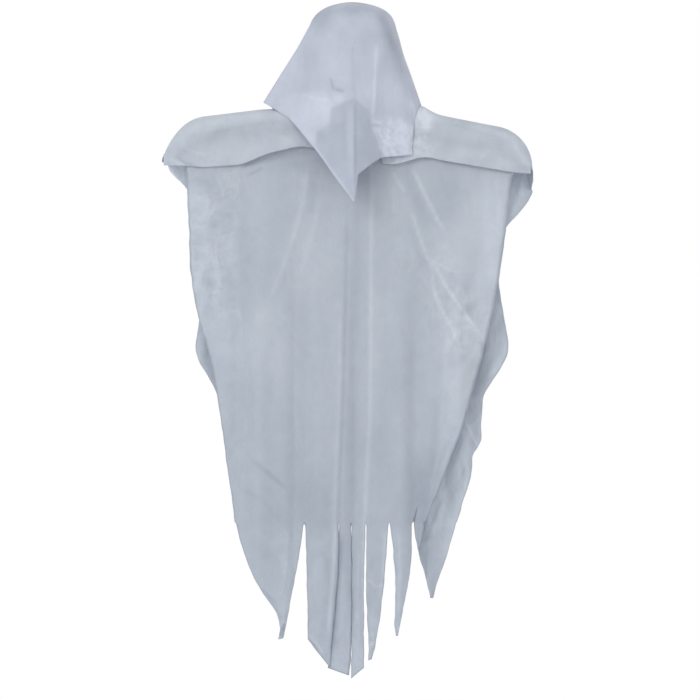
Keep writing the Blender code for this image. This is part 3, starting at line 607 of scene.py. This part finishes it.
FLAP_PATCHES = (
    (94, -156, 14, 12, 0.42), (92, -196, 14, 14, 0.16), (-150, -204, 50, 10, 0.02), (200, -208, 24, 12, 0.06),
    (157, -197, 30, 10, 0.14), (170, -166, 30, 8, -0.08), (60, -212, 24, 6, 0.26),
)
LEFT_BUNCH = ((-214, -222), (-150, -222), (-156, -300), (-162, -400), (-214, -400))
RIGHT_BUNCH = ((80, -330), (120, -330), (175, -420), (176, -470), (130, -480), (96, -400))
# The front sheet's right edge, beside which the back sheet is in its shade
SHADED_EDGE = (
    (219, -221), (208, -311), (199, -351), (187, -424), (173, -484), (155, -547), (133, -611), (112, -671),
    (96, -711),
)


def patch(x, z, middle_x, middle_z, wide, high):
    """1 in the middle of an upright oval in millimetres, fading out round it: a bell of the distance from the
    middle, in half widths and half heights."""
    return bell(np.hypot((x - middle_x * MM) / (wide * MM), (z - middle_z * MM) / (high * MM)), 1.0)


def neck_bunch(x, z):
    """Where the flap is bunched up beside the neck, 0 to 1, and its crumples, about -0.6 to 1."""
    return within(x, z, NECK_BUNCH, 0.014), crumples(x, z, 0.01, 21, -0.9, 1.5)


# Heights of relief: the step at a folded band, crumples where the front sheet was bunched, those on its
# strips and on the back sheet, and soft waves
BAND_STEP = 0.001
BUNCHED_HEIGHT = 0.0012
STRIP_CRUMPLE_HEIGHT = 0.0016
BACK_CRUMPLE_HEIGHT = 0.0018
WAVE_HEIGHT = 0.001
# How pale each sheet is where nothing else is at work, from 0, single, to 1, doubled
FRONT_TONE = 0.35
STUCK_TONE = 0.4
FLAP_TONE = 0.45
BACK_TONE = 0.5
HOOD_TONE = 0.55


def with_lines(x, z, lines, patches):
    """Height and paleness of a table of lines and patches: the sum over the lines of a crease times its own
    height and paleness, and over the patches of an oval times its paleness."""
    height, paler = np.zeros(x.shape), np.zeros(x.shape)
    for path, width, tall, tone in lines:
        line = crease(x, z, path, width * MM)
        height += tall * MM * line
        paler += tone * line
    for *oval, tone in patches:
        paler += tone * patch(x, z, *oval)
    return height, paler


def front_relief(x, z):
    """Height of the front sheet's lines and crumples, and how pale it is, 0 to 1: how many layers of cloth show
    there, with painted light and painted shade along its lines, in patches and on the facets of its crumples,
    and darker towards the bottom. The height is the sum of its lines, a step at each folded side band, and
    crumples where it was bunched."""
    height, layers = with_lines(x, z, FRONT_LINES, FRONT_PATCHES)
    left, right = within(x, z, LEFT_BAND, 0.008), within(x, z, RIGHT_BAND, 0.005)
    height += BAND_STEP * (left + right)
    layers += FRONT_TONE + 0.01 * left + 0.05 * right
    creased = 0.25 + 0.25 * left + 0.2 * right + 0.3 * eased((SLIT_Z - z) / 0.05)
    for outline, soft, size, seed, turn, tone in (
        (LEFT_BUNCH, 0.05, 0.014, 3, 1.3, 0.09), (RIGHT_BUNCH, 0.04, 0.015, 6, 0.6, 0.13),
    ):
        there = within(x, z, outline, soft)
        ridges = crumples(x, z, size, seed, turn, 1.6)
        height += BUNCHED_HEIGHT * there * ridges
        # Painted light and painted shade on the facets of the bunched crumples
        layers += tone * there * (ridges - 0.3)
        creased += 0.5 * there
    height += WAVE_HEIGHT * waves(x, z, 0.06, 4, 2.2)
    layers += 0.04 * waves(x, z, 0.09, 5, 2.0)
    layers -= 0.08 * eased((-z - 0.5) / 0.25)
    ridges = crumples(x, z, 0.012, 31, 0.4)
    for oval in FRONT_CRUMPLED:
        there = patch(x, z, *oval)
        height += STRIP_CRUMPLE_HEIGHT * there * ridges
        # Painted light and painted shade on the facets of the strips' crumples
        layers += 0.2 * there * (ridges - 0.2)
        creased += there
    return height, layers, creased


def paint_rim_shade(layers, columns, first_row):
    """Paints shade on the cut edges of a sheet, where it is single and turns away from the light: its two
    sides, the sides of its strips below the slits, and its hem."""
    layers[:, [0, -1]] -= RIM_PAINTED_SHADE
    beside = (columns.across == 0) | (columns.across == 1)
    layers[first_row:, beside] -= STRIP_RIM * RIM_PAINTED_SHADE
    layers[-1] -= RIM_PAINTED_SHADE
    return layers


def build_front_gown():
    """The front sheet: stuck round the front of the roll, then hanging. Below the flap its lines stand out
    in full, and behind the flap only as far as it leaves room."""
    columns = columns_of(FRONT)
    forward = np.radians(np.linspace(30.0, 90.0, STUCK_ROWS + 1))[:, None]
    stuck = round_bar(columns.run[None, :], FRONT_RADIUS, forward)
    x, z, out = hang(FRONT, columns, stuck[-1])
    height, layers, creased = front_relief(x, z)
    free = eased((stuck[-1][:, 2] - z) / (stuck[-1][:, 2] - BAR_CENTRE_Z + flap_hem(x))) ** 2
    y = -FRONT_RADIUS - out - height * free
    points = np.concatenate([stuck, np.stack([x, y, z], -1)])
    first_row = STUCK_ROWS + 1 + HANG_ROWS + EARLY_ROWS
    layers = paint_rim_shade(np.concatenate([np.full(stuck.shape[:2], STUCK_TONE), layers]), columns, first_row)
    creased = np.concatenate([np.full(stuck.shape[:2], 0.3), creased])
    weld = slit_welds(points.shape[:2], columns, first_row)
    piece = cloth_piece("front_sheet", points, weld, laid_flat(points, columns.run), layers=layers,
                        creased=creased)
    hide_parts("front_gown")
    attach(piece, "root")
    return piece


def build_back_gown():
    """The back sheet: a flap in front of the shoulders, then over the roll, then hanging behind it. Round the
    neck its two halves are moved aside, by less and less from the flap's hem to the top of the roll."""
    columns = columns_of(BACK)
    neck = min(columns.slits, key=lambda column: abs(columns.at[column]))
    number = np.arange(len(columns.at))
    side = np.where(number <= neck, -1.0, 1.0)
    down = np.linspace(1.0, 0.0, FLAP_ROWS + 1)[:, None]
    forward = np.radians(np.linspace(90.0, -90.0, OVER_BAR_ROWS + 1))[1:, None]
    steps = np.linspace(0, 1, len(FLAP_OPENING_LEFT))
    on_flap = np.where(side < 0, np.interp(down, steps, FLAP_OPENING_LEFT),
                       np.interp(down, steps, FLAP_OPENING_RIGHT))
    start = np.where(side < 0, FLAP_OPENING_LEFT[0], FLAP_OPENING_RIGHT[0])
    at_peg = PEG_RADIUS + NECK_CLEARANCE
    on_bar = at_peg + (start - at_peg) * np.maximum(np.sin(forward), 0.0)
    on_bar = on_bar * np.clip((NECK_SLIT_BACK + np.degrees(forward)) / NECK_SLIT_CLOSING, 0.0, 1.0)
    half = np.concatenate([on_flap, on_bar])
    run = side * np.abs(columns.run)
    moved = side * (half + np.abs(run) * (1 - half / BEND_START))
    run = np.where(np.abs(run) < BEND_START, moved, run)
    # At the roll's ends the cloth hangs lower and stands off to the side, and behind it doesn't come back
    beyond = eased((np.abs(run) - BEND_START) / (BAR_HALF_LENGTH - BEND_START)) ** 2
    flap_run, bar_run = run[:FLAP_ROWS + 1], run[FLAP_ROWS + 1:]
    longer_over, longer_behind, flared, power = (
        np.where(side < 0, left, right) for left, right in zip(LEFT_END, RIGHT_END)
    )
    upward, behind = np.maximum(np.cos(forward), 0.0), np.maximum(-np.sin(forward), 0.0)
    bar_run = bar_run + side * (longer_over * upward + longer_behind * behind) * beyond[FLAP_ROWS + 1:]
    puffed = ROLL_BULGE * eased((np.abs(run) - ROLL_BULGE_AT) / ROLL_BULGE_GROWS)
    puffed = puffed * (1 - LEFT_END_FLATTER * beyond * (side < 0))
    radius = BACK_RADIUS + puffed[FLAP_ROWS + 1:] * (0.5 + 0.5 * np.sin(forward))
    top = round_bar(flap_run, BACK_RADIUS, math.pi / 2)
    hem_z = np.minimum(BAR_CENTRE_Z - flap_hem(top[..., 0], EDGE_BLUR), top[..., 2] - FLAP_LEAST_DROP)
    flap_z = top[..., 2] + (hem_z - top[..., 2]) * down
    below = (top[..., 2] - flap_z) / ROLL_BULGE_REACH
    flare = FLAP_FLARE * (1 - FLARE_LESS * eased((FLARE_LESS_AT - top[..., 0]) / FLARE_LESS_REACH))
    flap_y = top[..., 1] - flare * eased(down) - puffed[:FLAP_ROWS + 1] * bell(below, 1.0)
    flap_x = top[..., 0] + side * (END_STAND * BACK_RADIUS + flared) * beyond[:FLAP_ROWS + 1] ** power
    flap = np.stack([flap_x, flap_y, flap_z], -1)
    over = round_bar(bar_run, radius, forward)
    _, _, out_x, out_z = bar_line(bar_run)
    kept = (END_STAND * radius * (1 - np.cos(forward)) + flared) * beyond[FLAP_ROWS + 1:] ** power
    over = over + kept[..., None] * np.stack([out_x, 0.0 * out_x, out_z], -1)
    x, z, out = hang(BACK, columns, over[-1])
    points = np.concatenate([flap, over, np.stack([x, BACK_RADIUS + out, z], -1)])
    # Everything in front: the flap and the roll down to its top
    near = points[:FLAP_ROWS + 1 + OVER_BAR_ROWS]
    near_x, near_z = near[..., 0].copy(), near[..., 2].copy()
    bunched, ridges = neck_bunch(near_x, near_z)
    height, paler = with_lines(near_x, near_z, FLAP_LINES, FLAP_PATCHES)
    in_front = eased(-near[..., 1] / 0.012)
    # Under the hood's right corner the flap is left plain, so that the hood lies clear of it
    clear = 1 - eased((0.095 - near_x) / 0.006) * eased((near_z + 0.185) / 0.015)
    near[..., 1] -= (height + NECK_BUNCH_HEIGHT * bunched * (0.6 + ridges)) * clear * in_front
    near[FLAP_ROWS + 1:, :, 2] += BUNCH_RISE * bell(near_x[FLAP_ROWS + 1:] - BUNCH_AT, BUNCH_REACH) * upward
    soft = 0.05 * waves(near_x, near[..., 2], 0.05, 14, 0.5)
    # Painted light and painted shade on the flap and over the roll: paler and darker along its lines, patches
    # and crumples, painted shade in a band just below the roll, a painted highlight on the roll's top, and
    # painted light that lifts the shade on the cloth behind the roll's left end
    lit = FLAP_TONE + soft + in_front * (paler + 0.2 * bunched * ridges)
    lit[:FLAP_ROWS + 1] -= 0.14 * bell(below - 1.5, 0.7)
    lit[FLAP_ROWS + 1:] += 0.04 * np.cos(forward) * (forward > -0.4)
    lit[FLAP_ROWS + 1:] += 0.35 * behind * beyond[FLAP_ROWS + 1:] * (side < 0)
    shade = 0.06 * bell(near_path(x, z, SHADED_EDGE)[0], 0.008)
    hung = BACK_TONE - shade + 0.05 * waves(x, z, 0.06, 12, 1.5)
    # Painted light and painted shade from the back sheet's lines and patches
    height, paler = with_lines(x, z, BACK_LINES, BACK_PATCHES)
    points[-len(x):, :, 1] -= height
    hung += paler
    height = crumples(x, z, 0.026, 41, 0.25, 3.2)
    points[-len(x):, :, 1] += BACK_CRUMPLE_HEIGHT * height
    # Painted light and painted shade on the facets of its crumples
    hung += 0.04 * (height - 0.2)
    first_row = FLAP_ROWS + OVER_BAR_ROWS + 1 + HANG_ROWS + EARLY_ROWS
    layers = paint_rim_shade(np.concatenate([lit, hung]), columns, first_row)
    # Painted contact shadow along the flap's hem, where it lies on the front sheet
    layers[0] -= LYING_RIM * RIM_PAINTED_SHADE
    creased = np.concatenate([0.4 + 0.3 * bunched, np.full(x.shape, 0.45)])
    opened = FLAP_ROWS + 1 + int(OVER_BAR_ROWS * (90 + NECK_SLIT_BACK) / 180)
    weld = slit_welds(points.shape[:2], columns, first_row, (neck, opened))
    piece = cloth_piece("back_sheet", points, weld, laid_flat(points, columns.run), layers=layers,
                        creased=creased)
    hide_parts("back_gown")
    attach(piece, "root")
    return piece


def hood_hem():
    """The hood's hem as a closed loop of points, over the right shoulder, behind, over the left one and in
    front, with more points evenly along each straight piece."""
    turns = np.radians(np.linspace(-90.0, 90.0, 7))
    on_right, on_left = (
        round_bar(run_at(np.interp(np.linspace(0, 1, 7), [0, 0.5, 1], places)), HOOD_ON_BAR_RADIUS, turns)
        for places in (HOOD_ON_RIGHT, HOOD_ON_LEFT)
    )
    on_right[:, 2] += BUNCH_RISE * np.cos(turns)
    on_left[:, 2] += LEFT_CORNER_RISE * np.cos(turns) ** np.where(turns > 0, 7, 2)
    back, front = (
        np.array([(x, faces * (BACK_RADIUS + out), BAR_CENTRE_Z - drop) for x, out, drop in points])
        for points, faces in ((HOOD_BACK_HEM, 1), (HOOD_FRONT_HEM, -1))
    )
    loop = np.concatenate([on_right[::-1], back, on_left, front, on_right[-1:]])
    length = np.concatenate([[0.0], np.cumsum(np.linalg.norm(np.diff(loop, axis=0), axis=1))])
    even = np.linspace(0.0, length[-1], HOOD_COLUMNS + 1)
    for corner in length:
        even[np.argmin(np.abs(even - corner))] = corner
    return np.stack([np.interp(even, length, loop[:, k]) for k in range(3)], -1)


# The hood's own lines and patches, as for the front sheet, with painted light and painted shade such as painted
# shade down its right side, and the gap between the flap's halves behind it
HOOD_LINES = (
    (((33, -56), (31, -91), (29, -124), (28, -160)), 1.8, 1.3, 0.32),
    (((-29, -103), (-25, -120), (-8, -123)), 2.2, -1.4, -0.26),
    (((33, -8), (40, -29), (48, -48), (60, -69), (69, -96), (77, -120), (84, -139)), 8.0, 1.0, -0.34),
    (((-59, -32), (-40, -11), (-19, -4), (0, -1), (21, -4), (40, -9)), 2.2, 0.0, -0.2),
    (((1, -59), (3, -136)), 2.4, -0.8, -0.12),
    (((-3, -136), (-1, -245)), 4.0, 0.8, 0.12),
    (((5, -136), (5, -253)), 2.6, -1.0, -0.12),
    (((-11, -147), (-9, -224)), 2.6, -0.6, -0.06),
    (((23, -167), (40, -168), (59, -172)), 1.8, -1.0, -0.16),
    (((-69, -125), (-48, -132), (-28, -136)), 3.0, 0.8, 0.1),
    (((26, -159), (40, -166), (57, -177)), 1.6, 1.4, 0.24),
    (((44, -183), (60, -187), (77, -193)), 1.7, 1.4, 0.24),
    (((35, -175), (48, -192), (59, -211)), 1.6, 1.2, 0.2),
    (((64, -167), (69, -188), (75, -204)), 1.6, 1.2, 0.16),
    (((48, -162), (61, -172), (74, -176)), 1.6, 1.0, 0.16),
    (((78, -140), (79, -170), (79, -195)), 2.0, 0.6, -0.1),
)
HOOD_PATCHES = (
    (-17, -132, 8, 7, 0.3), (-53, -148, 27, 19, 0.1), (-42, -26, 18, 22, -0.36), (50, -126, 20, 38, 0.24),
    (53, -181, 16, 16, 0.2), (-69, -93, 19, 40, -0.08), (-101, -131, 13, 13, -0.12), (43, -24, 9, 16, -0.16),
    (-9, -77, 21, 29, 0.06), (0, -13, 40, 10, -0.3),
    (-3, -50, 24, 20, -0.1), (44, -102, 12, 18, 0.15),
)
HOOD_ON_SHOULDER = (
    (-88, -127), (-69, -121), (-36, -121), (-25, -139), (-31, -152), (-32, -172), (-45, -176), (-52, -192),
    (-69, -172), (-83, -155), (-97, -141),
)
HOOD_SLIT = (
    (1, -131), (-28, -145), (-29, -164), (-47, -175), (-48, -193), (4, -268), (41, -207), (25, -168),
    (23, -149), (12, -139),
)


def build_hood():
    """The hood: over the head on an arc to where the cloth leaves it, then nearly straight to the hem. At the
    crown it swells to both sides, and below it soft folds stand out between the head and the hem."""
    feet = hood_hem()
    reach = np.hypot(feet[:, 0], feet[:, 1])
    out_x, out_y = feet[:, 0] / reach, feet[:, 1] / reach
    fall = feet[:, 2] - HEAD_CENTRE_Z
    leaves = np.arctan2(fall, reach) + np.arccos(np.minimum(HOOD_RADIUS / np.hypot(reach, fall), 1.0))
    share = np.linspace(0.0, 1.0, CROWN_ROWS + 1)[:, None]
    turn = math.pi / 2 + (leaves - math.pi / 2) * share
    swell = (CROWN_SWELL + CROWN_SWELL_LEAN * out_x) * np.sin(math.pi * share) ** 2
    away = HOOD_RADIUS * np.cos(turn) + swell + BROW_SWELL * eased(1.6 * share)
    crown = np.stack([away * out_x, away * out_y, HEAD_CENTRE_Z + HOOD_RADIUS * np.sin(turn)], -1)
    share = np.linspace(0.0, 1.0, SKIRT_ROWS + 1)[1:, None]
    wave = HOOD_FOLD_DEPTH * (0.25 + 0.5 * np.sin(HOOD_FOLDS * np.arctan2(feet[:, 1], feet[:, 0])))
    swell = wave * np.sin(math.pi * share) - BROW_SWELL * eased(2.5 * share) * (1 - share)
    skirt = crown[-1] + (feet - crown[-1]) * share[..., None]
    skirt = skirt + swell[..., None] * np.stack([out_x, out_y, 0.0 * out_x], -1)
    points = np.concatenate([crown, skirt])
    x, y, z = points[..., 0], points[..., 1], points[..., 2]
    front = eased(-y / 0.02)
    height, paler = with_lines(x, z, HOOD_LINES, HOOD_PATCHES)
    free = eased((HEAD_CENTRE_Z - HOOD_RADIUS - z + 0.1) / 0.03) * eased((0.081 - np.abs(x)) / 0.012)
    bunched, ridges = neck_bunch(x, z)
    height = height + NECK_BUNCH_HEIGHT * bunched * np.maximum(ridges, -0.2)
    height = front * (height + WAVE_HEIGHT * free * waves(x, z, 0.035, 8, 2.0))
    # Painted light and painted shade on the facets of the bunch's crumples
    paler = paler + bunched * (0.14 + 0.16 * ridges)
    points[..., 0] += out_x * height
    points[..., 1] += out_y * height
    paler = paler + 0.13 * within(x, z, HOOD_ON_SHOULDER, 0.008) - 0.24 * within(x, z, HOOD_SLIT, 0.003)
    layers = HOOD_TONE + front * paler + 0.05 * waves(x, z, 0.04, 9, 1.6)
    # Painted contact shadow along the hood's hem left of x = 0.03, where it lies on the cloth below
    layers[-1] -= LYING_RIM * RIM_PAINTED_SHADE * (feet[:, 0] < 0.03)
    length = cloth_above(points)
    flat = np.stack([length * out_x, length * out_y], -1)
    weld = np.arange(x.size).reshape(x.shape)
    weld[:, -1] = weld[:, 0]
    weld[0, :] = 0
    piece = cloth_piece("hood_sheet", points, weld, flat, poles=True, layers=layers,
                        creased=0.3 + 0.3 * bunched)
    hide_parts("hood")
    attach(piece, "root")
    return piece


def ring_quads(rings, around):
    """The quads between rings of points that follow each other, with the same number of points in each."""
    index = np.arange(rings * around).reshape(rings, around)
    after = np.roll(index, -1, axis=1)
    return np.stack([index[:-1], after[:-1], after[1:], index[1:]], -1).reshape(-1, 4)


def build_shoulder_roll():
    """The soft roll in the shoulders: a round section carried along its centreline, a little uneven as foam
    is, with its ends rounded by a quarter circle and a hole in its top for the peg."""
    turn = np.linspace(0.0, math.pi / 2, ROLL_END_ROWS + 1)
    straight = BAR_HALF_LENGTH - ROLL_EDGE
    half = np.concatenate([np.linspace(0.0, straight, ROLL_ROWS)[1:-1], straight + ROLL_EDGE * np.sin(turn)])
    inset = np.concatenate([np.zeros(ROLL_ROWS - 2), ROLL_EDGE * (1 - np.cos(turn))])
    run = np.concatenate([-half[::-1], [0.0], half])[:, None]
    inset = np.concatenate([inset[::-1], [0.0], inset])[:, None]
    around = np.linspace(0.0, 2 * math.pi, ROLL_SIDES + 1)[:-1]
    uneven = ROLL_UNEVEN * (waves(run, around * 0.02, 0.045, 17) - 1.2)
    points = round_bar(run, BAR_RADIUS - inset + uneven, around)
    upper = points[..., 2] > BAR_CENTRE_Z + BAR_RADIUS * 0.3
    hole = upper & (np.hypot(points[..., 0], points[..., 1]) < PEG_RADIUS + ROLL_HOLE_GAP)
    points[..., 2] -= ROLL_HOLE_DEPTH * hole
    cap = np.arange(ROLL_SIDES)
    caps = [cap[::-1].tolist(), (cap + (len(points) - 1) * ROLL_SIDES).tolist()]
    mesh = bpy.data.meshes.new("shoulder_roll")
    mesh.from_pydata(points.reshape(-1, 3).tolist(), [], ring_quads(len(points), ROLL_SIDES).tolist() + caps)
    mesh.shade_smooth()
    piece = new_object("shoulder_roll", mesh)
    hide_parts("shoulder_bar")
    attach(piece, "root")
    return piece


def linear(hex_colour):
    """An sRGB hex colour as linear red, green and blue."""
    parts = [int(hex_colour[k:k + 2], 16) / 255 for k in (1, 3, 5)]
    return (*(c / 12.92 if c <= 0.04045 else ((c + 0.055) / 1.055) ** 2.4 for c in parts), 1.0)


def add(tree, kind, settings=None, **links):
    """Adds a shader node with its own settings, and sets or links its inputs by name or by i and number."""
    node = tree.nodes.new("ShaderNode" + kind)
    for name, value in (settings or {}).items():
        setattr(node, name, value)
    for name, value in links.items():
        socket = node.inputs[int(name[1:]) if name[0] == "i" and name[1:].isdigit() else name.replace("_", " ")]
        if isinstance(value, bpy.types.NodeSocket):
            tree.links.new(value, socket)
        else:
            socket.default_value = value
    return node


def new_material(name):
    """An empty node material and its tree."""
    material = bpy.data.materials.new(name)
    material.use_nodes = True
    material.node_tree.nodes.clear()
    return material, material.node_tree


def sheer_cloth(name, thin, doubled):
    """Sheer bonded polyester cloth: a thin veil of fine fibres. It lets light through, shines softly at a
    glancing angle, and looks greyer where it is single and paler where layers lie together. Its colour also
    carries painted light and painted shade, which the sheets hold in the same attribute as their layers."""
    material, tree = new_material(name)
    place = add(tree, "TexCoord")
    layers = add(tree, "Attribute", {"attribute_name": "layers"})
    # Uneven fibre web: clouds about 14 mm across
    cloud = add(tree, "TexNoise", Vector=place.outputs["Object"], Scale=70.0, Detail=5.0, Roughness=0.6)
    uneven = add(tree, "Math", {"operation": "MULTIPLY_ADD"}, i0=cloud.outputs["Fac"], i1=0.2, i2=-0.1)
    paleness_with_painted_light = add(tree, "Math", {"operation": "ADD"}, i0=layers.outputs["Fac"], i1=uneven.outputs[0])
    # Sharp pressed creases, from about 25 mm apart down, more of them where the cloth was crumpled: bumped, and
    # painted paler along their ridges as a painted highlight
    creased = add(tree, "Attribute", {"attribute_name": "creased"})
    drawn = add(tree, "Mapping", Vector=place.outputs["Object"], Rotation=(0.0, 0.5, 0.0),
                Scale=(1.0, 1.0, 0.6))
    ridges = add(tree, "TexNoise", {"noise_type": "RIDGED_MULTIFRACTAL"}, Vector=drawn.outputs[0],
                 Scale=38.0, Detail=4.0, Roughness=0.55, Lacunarity=2.1, Offset=1.0, Gain=1.8, Distortion=0.4)
    pressed = add(tree, "MapRange", {"clamp": True}, Value=ridges.outputs["Fac"], i1=0.5, i2=1.8)
    shown = add(tree, "Math", {"operation": "MULTIPLY"}, i0=pressed.outputs[0], i1=creased.outputs["Fac"])
    paleness_with_painted_light = add(tree, "Math", {"operation": "MULTIPLY_ADD"}, i0=shown.outputs[0], i1=0.22,
                i2=paleness_with_painted_light.outputs[0])
    colour = add(tree, "Mix", {"data_type": "RGBA"}, i0=paleness_with_painted_light.outputs[0], i6=linear(thin),
                 i7=linear(doubled))
    sharp = add(tree, "Bump", Height=shown.outputs[0], Strength=0.8, Distance=0.0016)
    # Fine crumples about 5 mm across, and the threads of the web, drawn 1.6 mm apart so that they show
    fine = add(tree, "TexNoise", Vector=place.outputs["Object"], Scale=190.0, Detail=3.0, Distortion=0.6)
    threads = add(tree, "TexNoise", Vector=place.outputs["UV"], Scale=600.0, Detail=2.0)
    rough = add(tree, "Math", {"operation": "MULTIPLY_ADD"}, i0=threads.outputs["Fac"], i1=0.5,
                i2=fine.outputs["Fac"])
    bump = add(tree, "Bump", Height=rough.outputs[0], Strength=0.35, Distance=0.0012,
               Normal=sharp.outputs[0])
    shader = add(tree, "BsdfPrincipled", Base_Color=colour.outputs[2], Roughness=0.72,
                 Specular_IOR_Level=0.35, Sheen_Weight=0.2, Sheen_Roughness=0.4, Normal=bump.outputs[0])
    through = add(tree, "BsdfTranslucent", Color=colour.outputs[2], Normal=bump.outputs[0])
    mixed = add(tree, "MixShader", i0=0.32, i1=shader.outputs[0], i2=through.outputs[0])
    add(tree, "OutputMaterial", Surface=mixed.outputs[0])
    return material


def dress(piece, material):
    """Gives a piece or a solid its one material."""
    piece.data.materials.clear()
    piece.data.materials.append(material)


def seen_directly(tree):
    """1 where the background is seen itself, also in a reflection or through something, and 0 where it only
    gives light."""
    rays = add(tree, "LightPath")
    seen = add(tree, "Math", {"operation": "MAXIMUM"}, i0=rays.outputs["Is Camera Ray"],
               i1=rays.outputs["Is Glossy Ray"])
    seen = add(tree, "Math", {"operation": "MAXIMUM"}, i0=seen.outputs[0],
               i1=rays.outputs["Is Transmission Ray"])
    return seen.outputs[0]


FLOOR_RADIUS = 2.6
FLOOR_Z = -1.1
FLOOR_RINGS = 39
FLOOR_SIDES = 96


def build_stage():
    """A round pale floor that keeps the ghost's shadow and fades to the white of the background at its rim:
    rings of points about the middle, with the rim's colour taken from the distance from the middle."""
    rings = np.linspace(0.0, FLOOR_RADIUS, FLOOR_RINGS + 1)[1:, None]
    around = np.linspace(0.0, 2 * math.pi, FLOOR_SIDES + 1)[:-1]
    level = np.full((FLOOR_RINGS, FLOOR_SIDES), FLOOR_Z)
    points = np.stack([rings * np.cos(around), rings * np.sin(around), level], -1).reshape(-1, 3)
    quads = ring_quads(FLOOR_RINGS, FLOOR_SIDES)[:, ::-1]
    first = np.arange(FLOOR_SIDES)
    fan = np.stack([np.full(FLOOR_SIDES, len(points)), first, np.roll(first, -1)], -1)
    mesh = bpy.data.meshes.new("floor")
    mesh.from_pydata(points.tolist() + [(0.0, 0.0, FLOOR_Z)], [], quads.tolist() + fan.tolist())
    floor = new_object("floor", mesh)
    material, tree = new_material("pale matt floor paint")
    place = add(tree, "TexCoord")
    grain = add(tree, "TexNoise", Vector=place.outputs["Object"], Scale=250.0, Detail=3.0)
    bump = add(tree, "Bump", Height=grain.outputs["Fac"], Strength=0.1, Distance=0.0005)
    paint = add(tree, "BsdfPrincipled", Base_Color=linear("#F2F3F4"), Roughness=0.9,
                Normal=bump.outputs[0])
    white = add(tree, "Emission", Color=(1.0, 1.0, 1.0, 1.0), Strength=1.0)
    flat = add(tree, "VectorMath", {"operation": "MULTIPLY"}, i0=place.outputs["Object"],
               i1=(1.0, 1.0, 0.0))
    reach = add(tree, "VectorMath", {"operation": "LENGTH"}, i0=flat.outputs[0])
    rim = add(tree, "MapRange", {"interpolation_type": "SMOOTHSTEP"}, Value=reach.outputs["Value"],
              i1=0.7, i2=2.2)
    blend = add(tree, "Math", {"operation": "MULTIPLY"}, i0=rim.outputs[0], i1=seen_directly(tree))
    mixed = add(tree, "MixShader", i0=blend.outputs[0], i1=paint.outputs[0], i2=white.outputs[0])
    add(tree, "OutputMaterial", Surface=mixed.outputs[0])
    dress(floor, material)


LAMPS = (("key lamp", (-1.7, -2.2, 1.2), 1.2, 24.0), ("fill lamp", (2.2, -2.6, 0.0), 2.0, 6.0))
LAMPS_AIM = (0.0, 0.0, -0.42)
CAMERA_PLACE = (-0.0027, -6.0, -0.464)
VIEW_WIDTH = 0.9333
SENSOR_WIDTH = 36.0


def light_room():
    """A soft room: an even pale world, which the camera sees as white, and two large soft lamps."""
    world = bpy.data.worlds.new("soft room")
    bpy.context.scene.world = world
    world.use_nodes = True
    tree = world.node_tree
    tree.nodes.clear()
    strength = add(tree, "MapRange", Value=seen_directly(tree), i3=0.93, i4=1.0)
    white = add(tree, "Background", Color=(1.0, 1.0, 1.0, 1.0), Strength=strength.outputs[0])
    add(tree, "OutputWorld", Surface=white.outputs[0])
    for name, place, size, power in LAMPS:
        lamp = bpy.data.lights.new(name, "AREA")
        lamp.size = size
        lamp.energy = power
        stand = new_object(name, lamp)
        stand.location = place
        stand.rotation_euler = (Vector(LAMPS_AIM) - Vector(place)).to_track_quat("-Z", "Y").to_euler()


def place_camera():
    """A long lens straight in front, so that the ghost looks as flat as in the photograph."""
    data = bpy.data.cameras.new("camera")
    data.sensor_width = SENSOR_WIDTH
    data.lens = -SENSOR_WIDTH * CAMERA_PLACE[1] / VIEW_WIDTH
    data.clip_end = 100.0
    camera = new_object("camera", data)
    camera.location = CAMERA_PLACE
    camera.rotation_euler = (math.pi / 2, 0.0, 0.0)
    bpy.context.scene.camera = camera


def foam_material(name, tone, bead):
    """Foam, matt and nearly white, with its beads or cells pressed together: cells of about one bead across
    with soft seams between them."""
    material, tree = new_material(name)
    place = add(tree, "TexCoord")
    cells = add(tree, "TexVoronoi", Vector=place.outputs["Object"], Scale=1.0 / bead)
    colour = add(tree, "Mix", {"data_type": "RGBA"}, i0=cells.outputs["Distance"], i6=linear(tone),
                 i7=linear("#B9BEC4"))
    bump = add(tree, "Bump", {"invert": True}, Height=cells.outputs["Distance"], Strength=0.5,
               Distance=0.0006)
    shader = add(tree, "BsdfPrincipled", Base_Color=colour.outputs[2], Roughness=0.8,
                 Normal=bump.outputs[0])
    add(tree, "OutputMaterial", Surface=shader.outputs[0])
    return material


def dowel_material():
    """Beech dowel, turned and left raw: pale pinkish brown with fine long grain."""
    material, tree = new_material("raw beech dowel")
    place = add(tree, "TexCoord")
    drawn = add(tree, "Mapping", Vector=place.outputs["Object"], Scale=(1.0, 1.0, 0.08))
    grain = add(tree, "TexNoise", Vector=drawn.outputs[0], Scale=900.0, Detail=4.0)
    colour = add(tree, "Mix", {"data_type": "RGBA"}, i0=grain.outputs["Fac"], i6=linear("#C9A27A"),
                 i7=linear("#A47D58"))
    bump = add(tree, "Bump", Height=grain.outputs["Fac"], Strength=0.3, Distance=0.0003)
    shader = add(tree, "BsdfPrincipled", Base_Color=colour.outputs[2], Roughness=0.6,
                 Normal=bump.outputs[0])
    add(tree, "OutputMaterial", Surface=shader.outputs[0])
    return material


gown_cloth = sheer_cloth("sheer bonded gown cloth", "#AEB7C3", "#E3E9F1")
hood_cloth = sheer_cloth("sheer bonded hood cloth", "#AEB6C5", "#E2E7F3")
dress(build_front_gown(), gown_cloth)
dress(build_back_gown(), gown_cloth)
dress(build_hood(), hood_cloth)
dress(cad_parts["head_ball"], foam_material("expanded foam beads", "#E9EBEE", 0.004))
dress(build_shoulder_roll(), foam_material("soft foam roll", "#E4E7EB", 0.0015))
dress(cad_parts["neck_peg"], dowel_material())
build_stage()
light_room()
place_camera()
bpy.context.scene.view_settings.view_transform = "Standard"
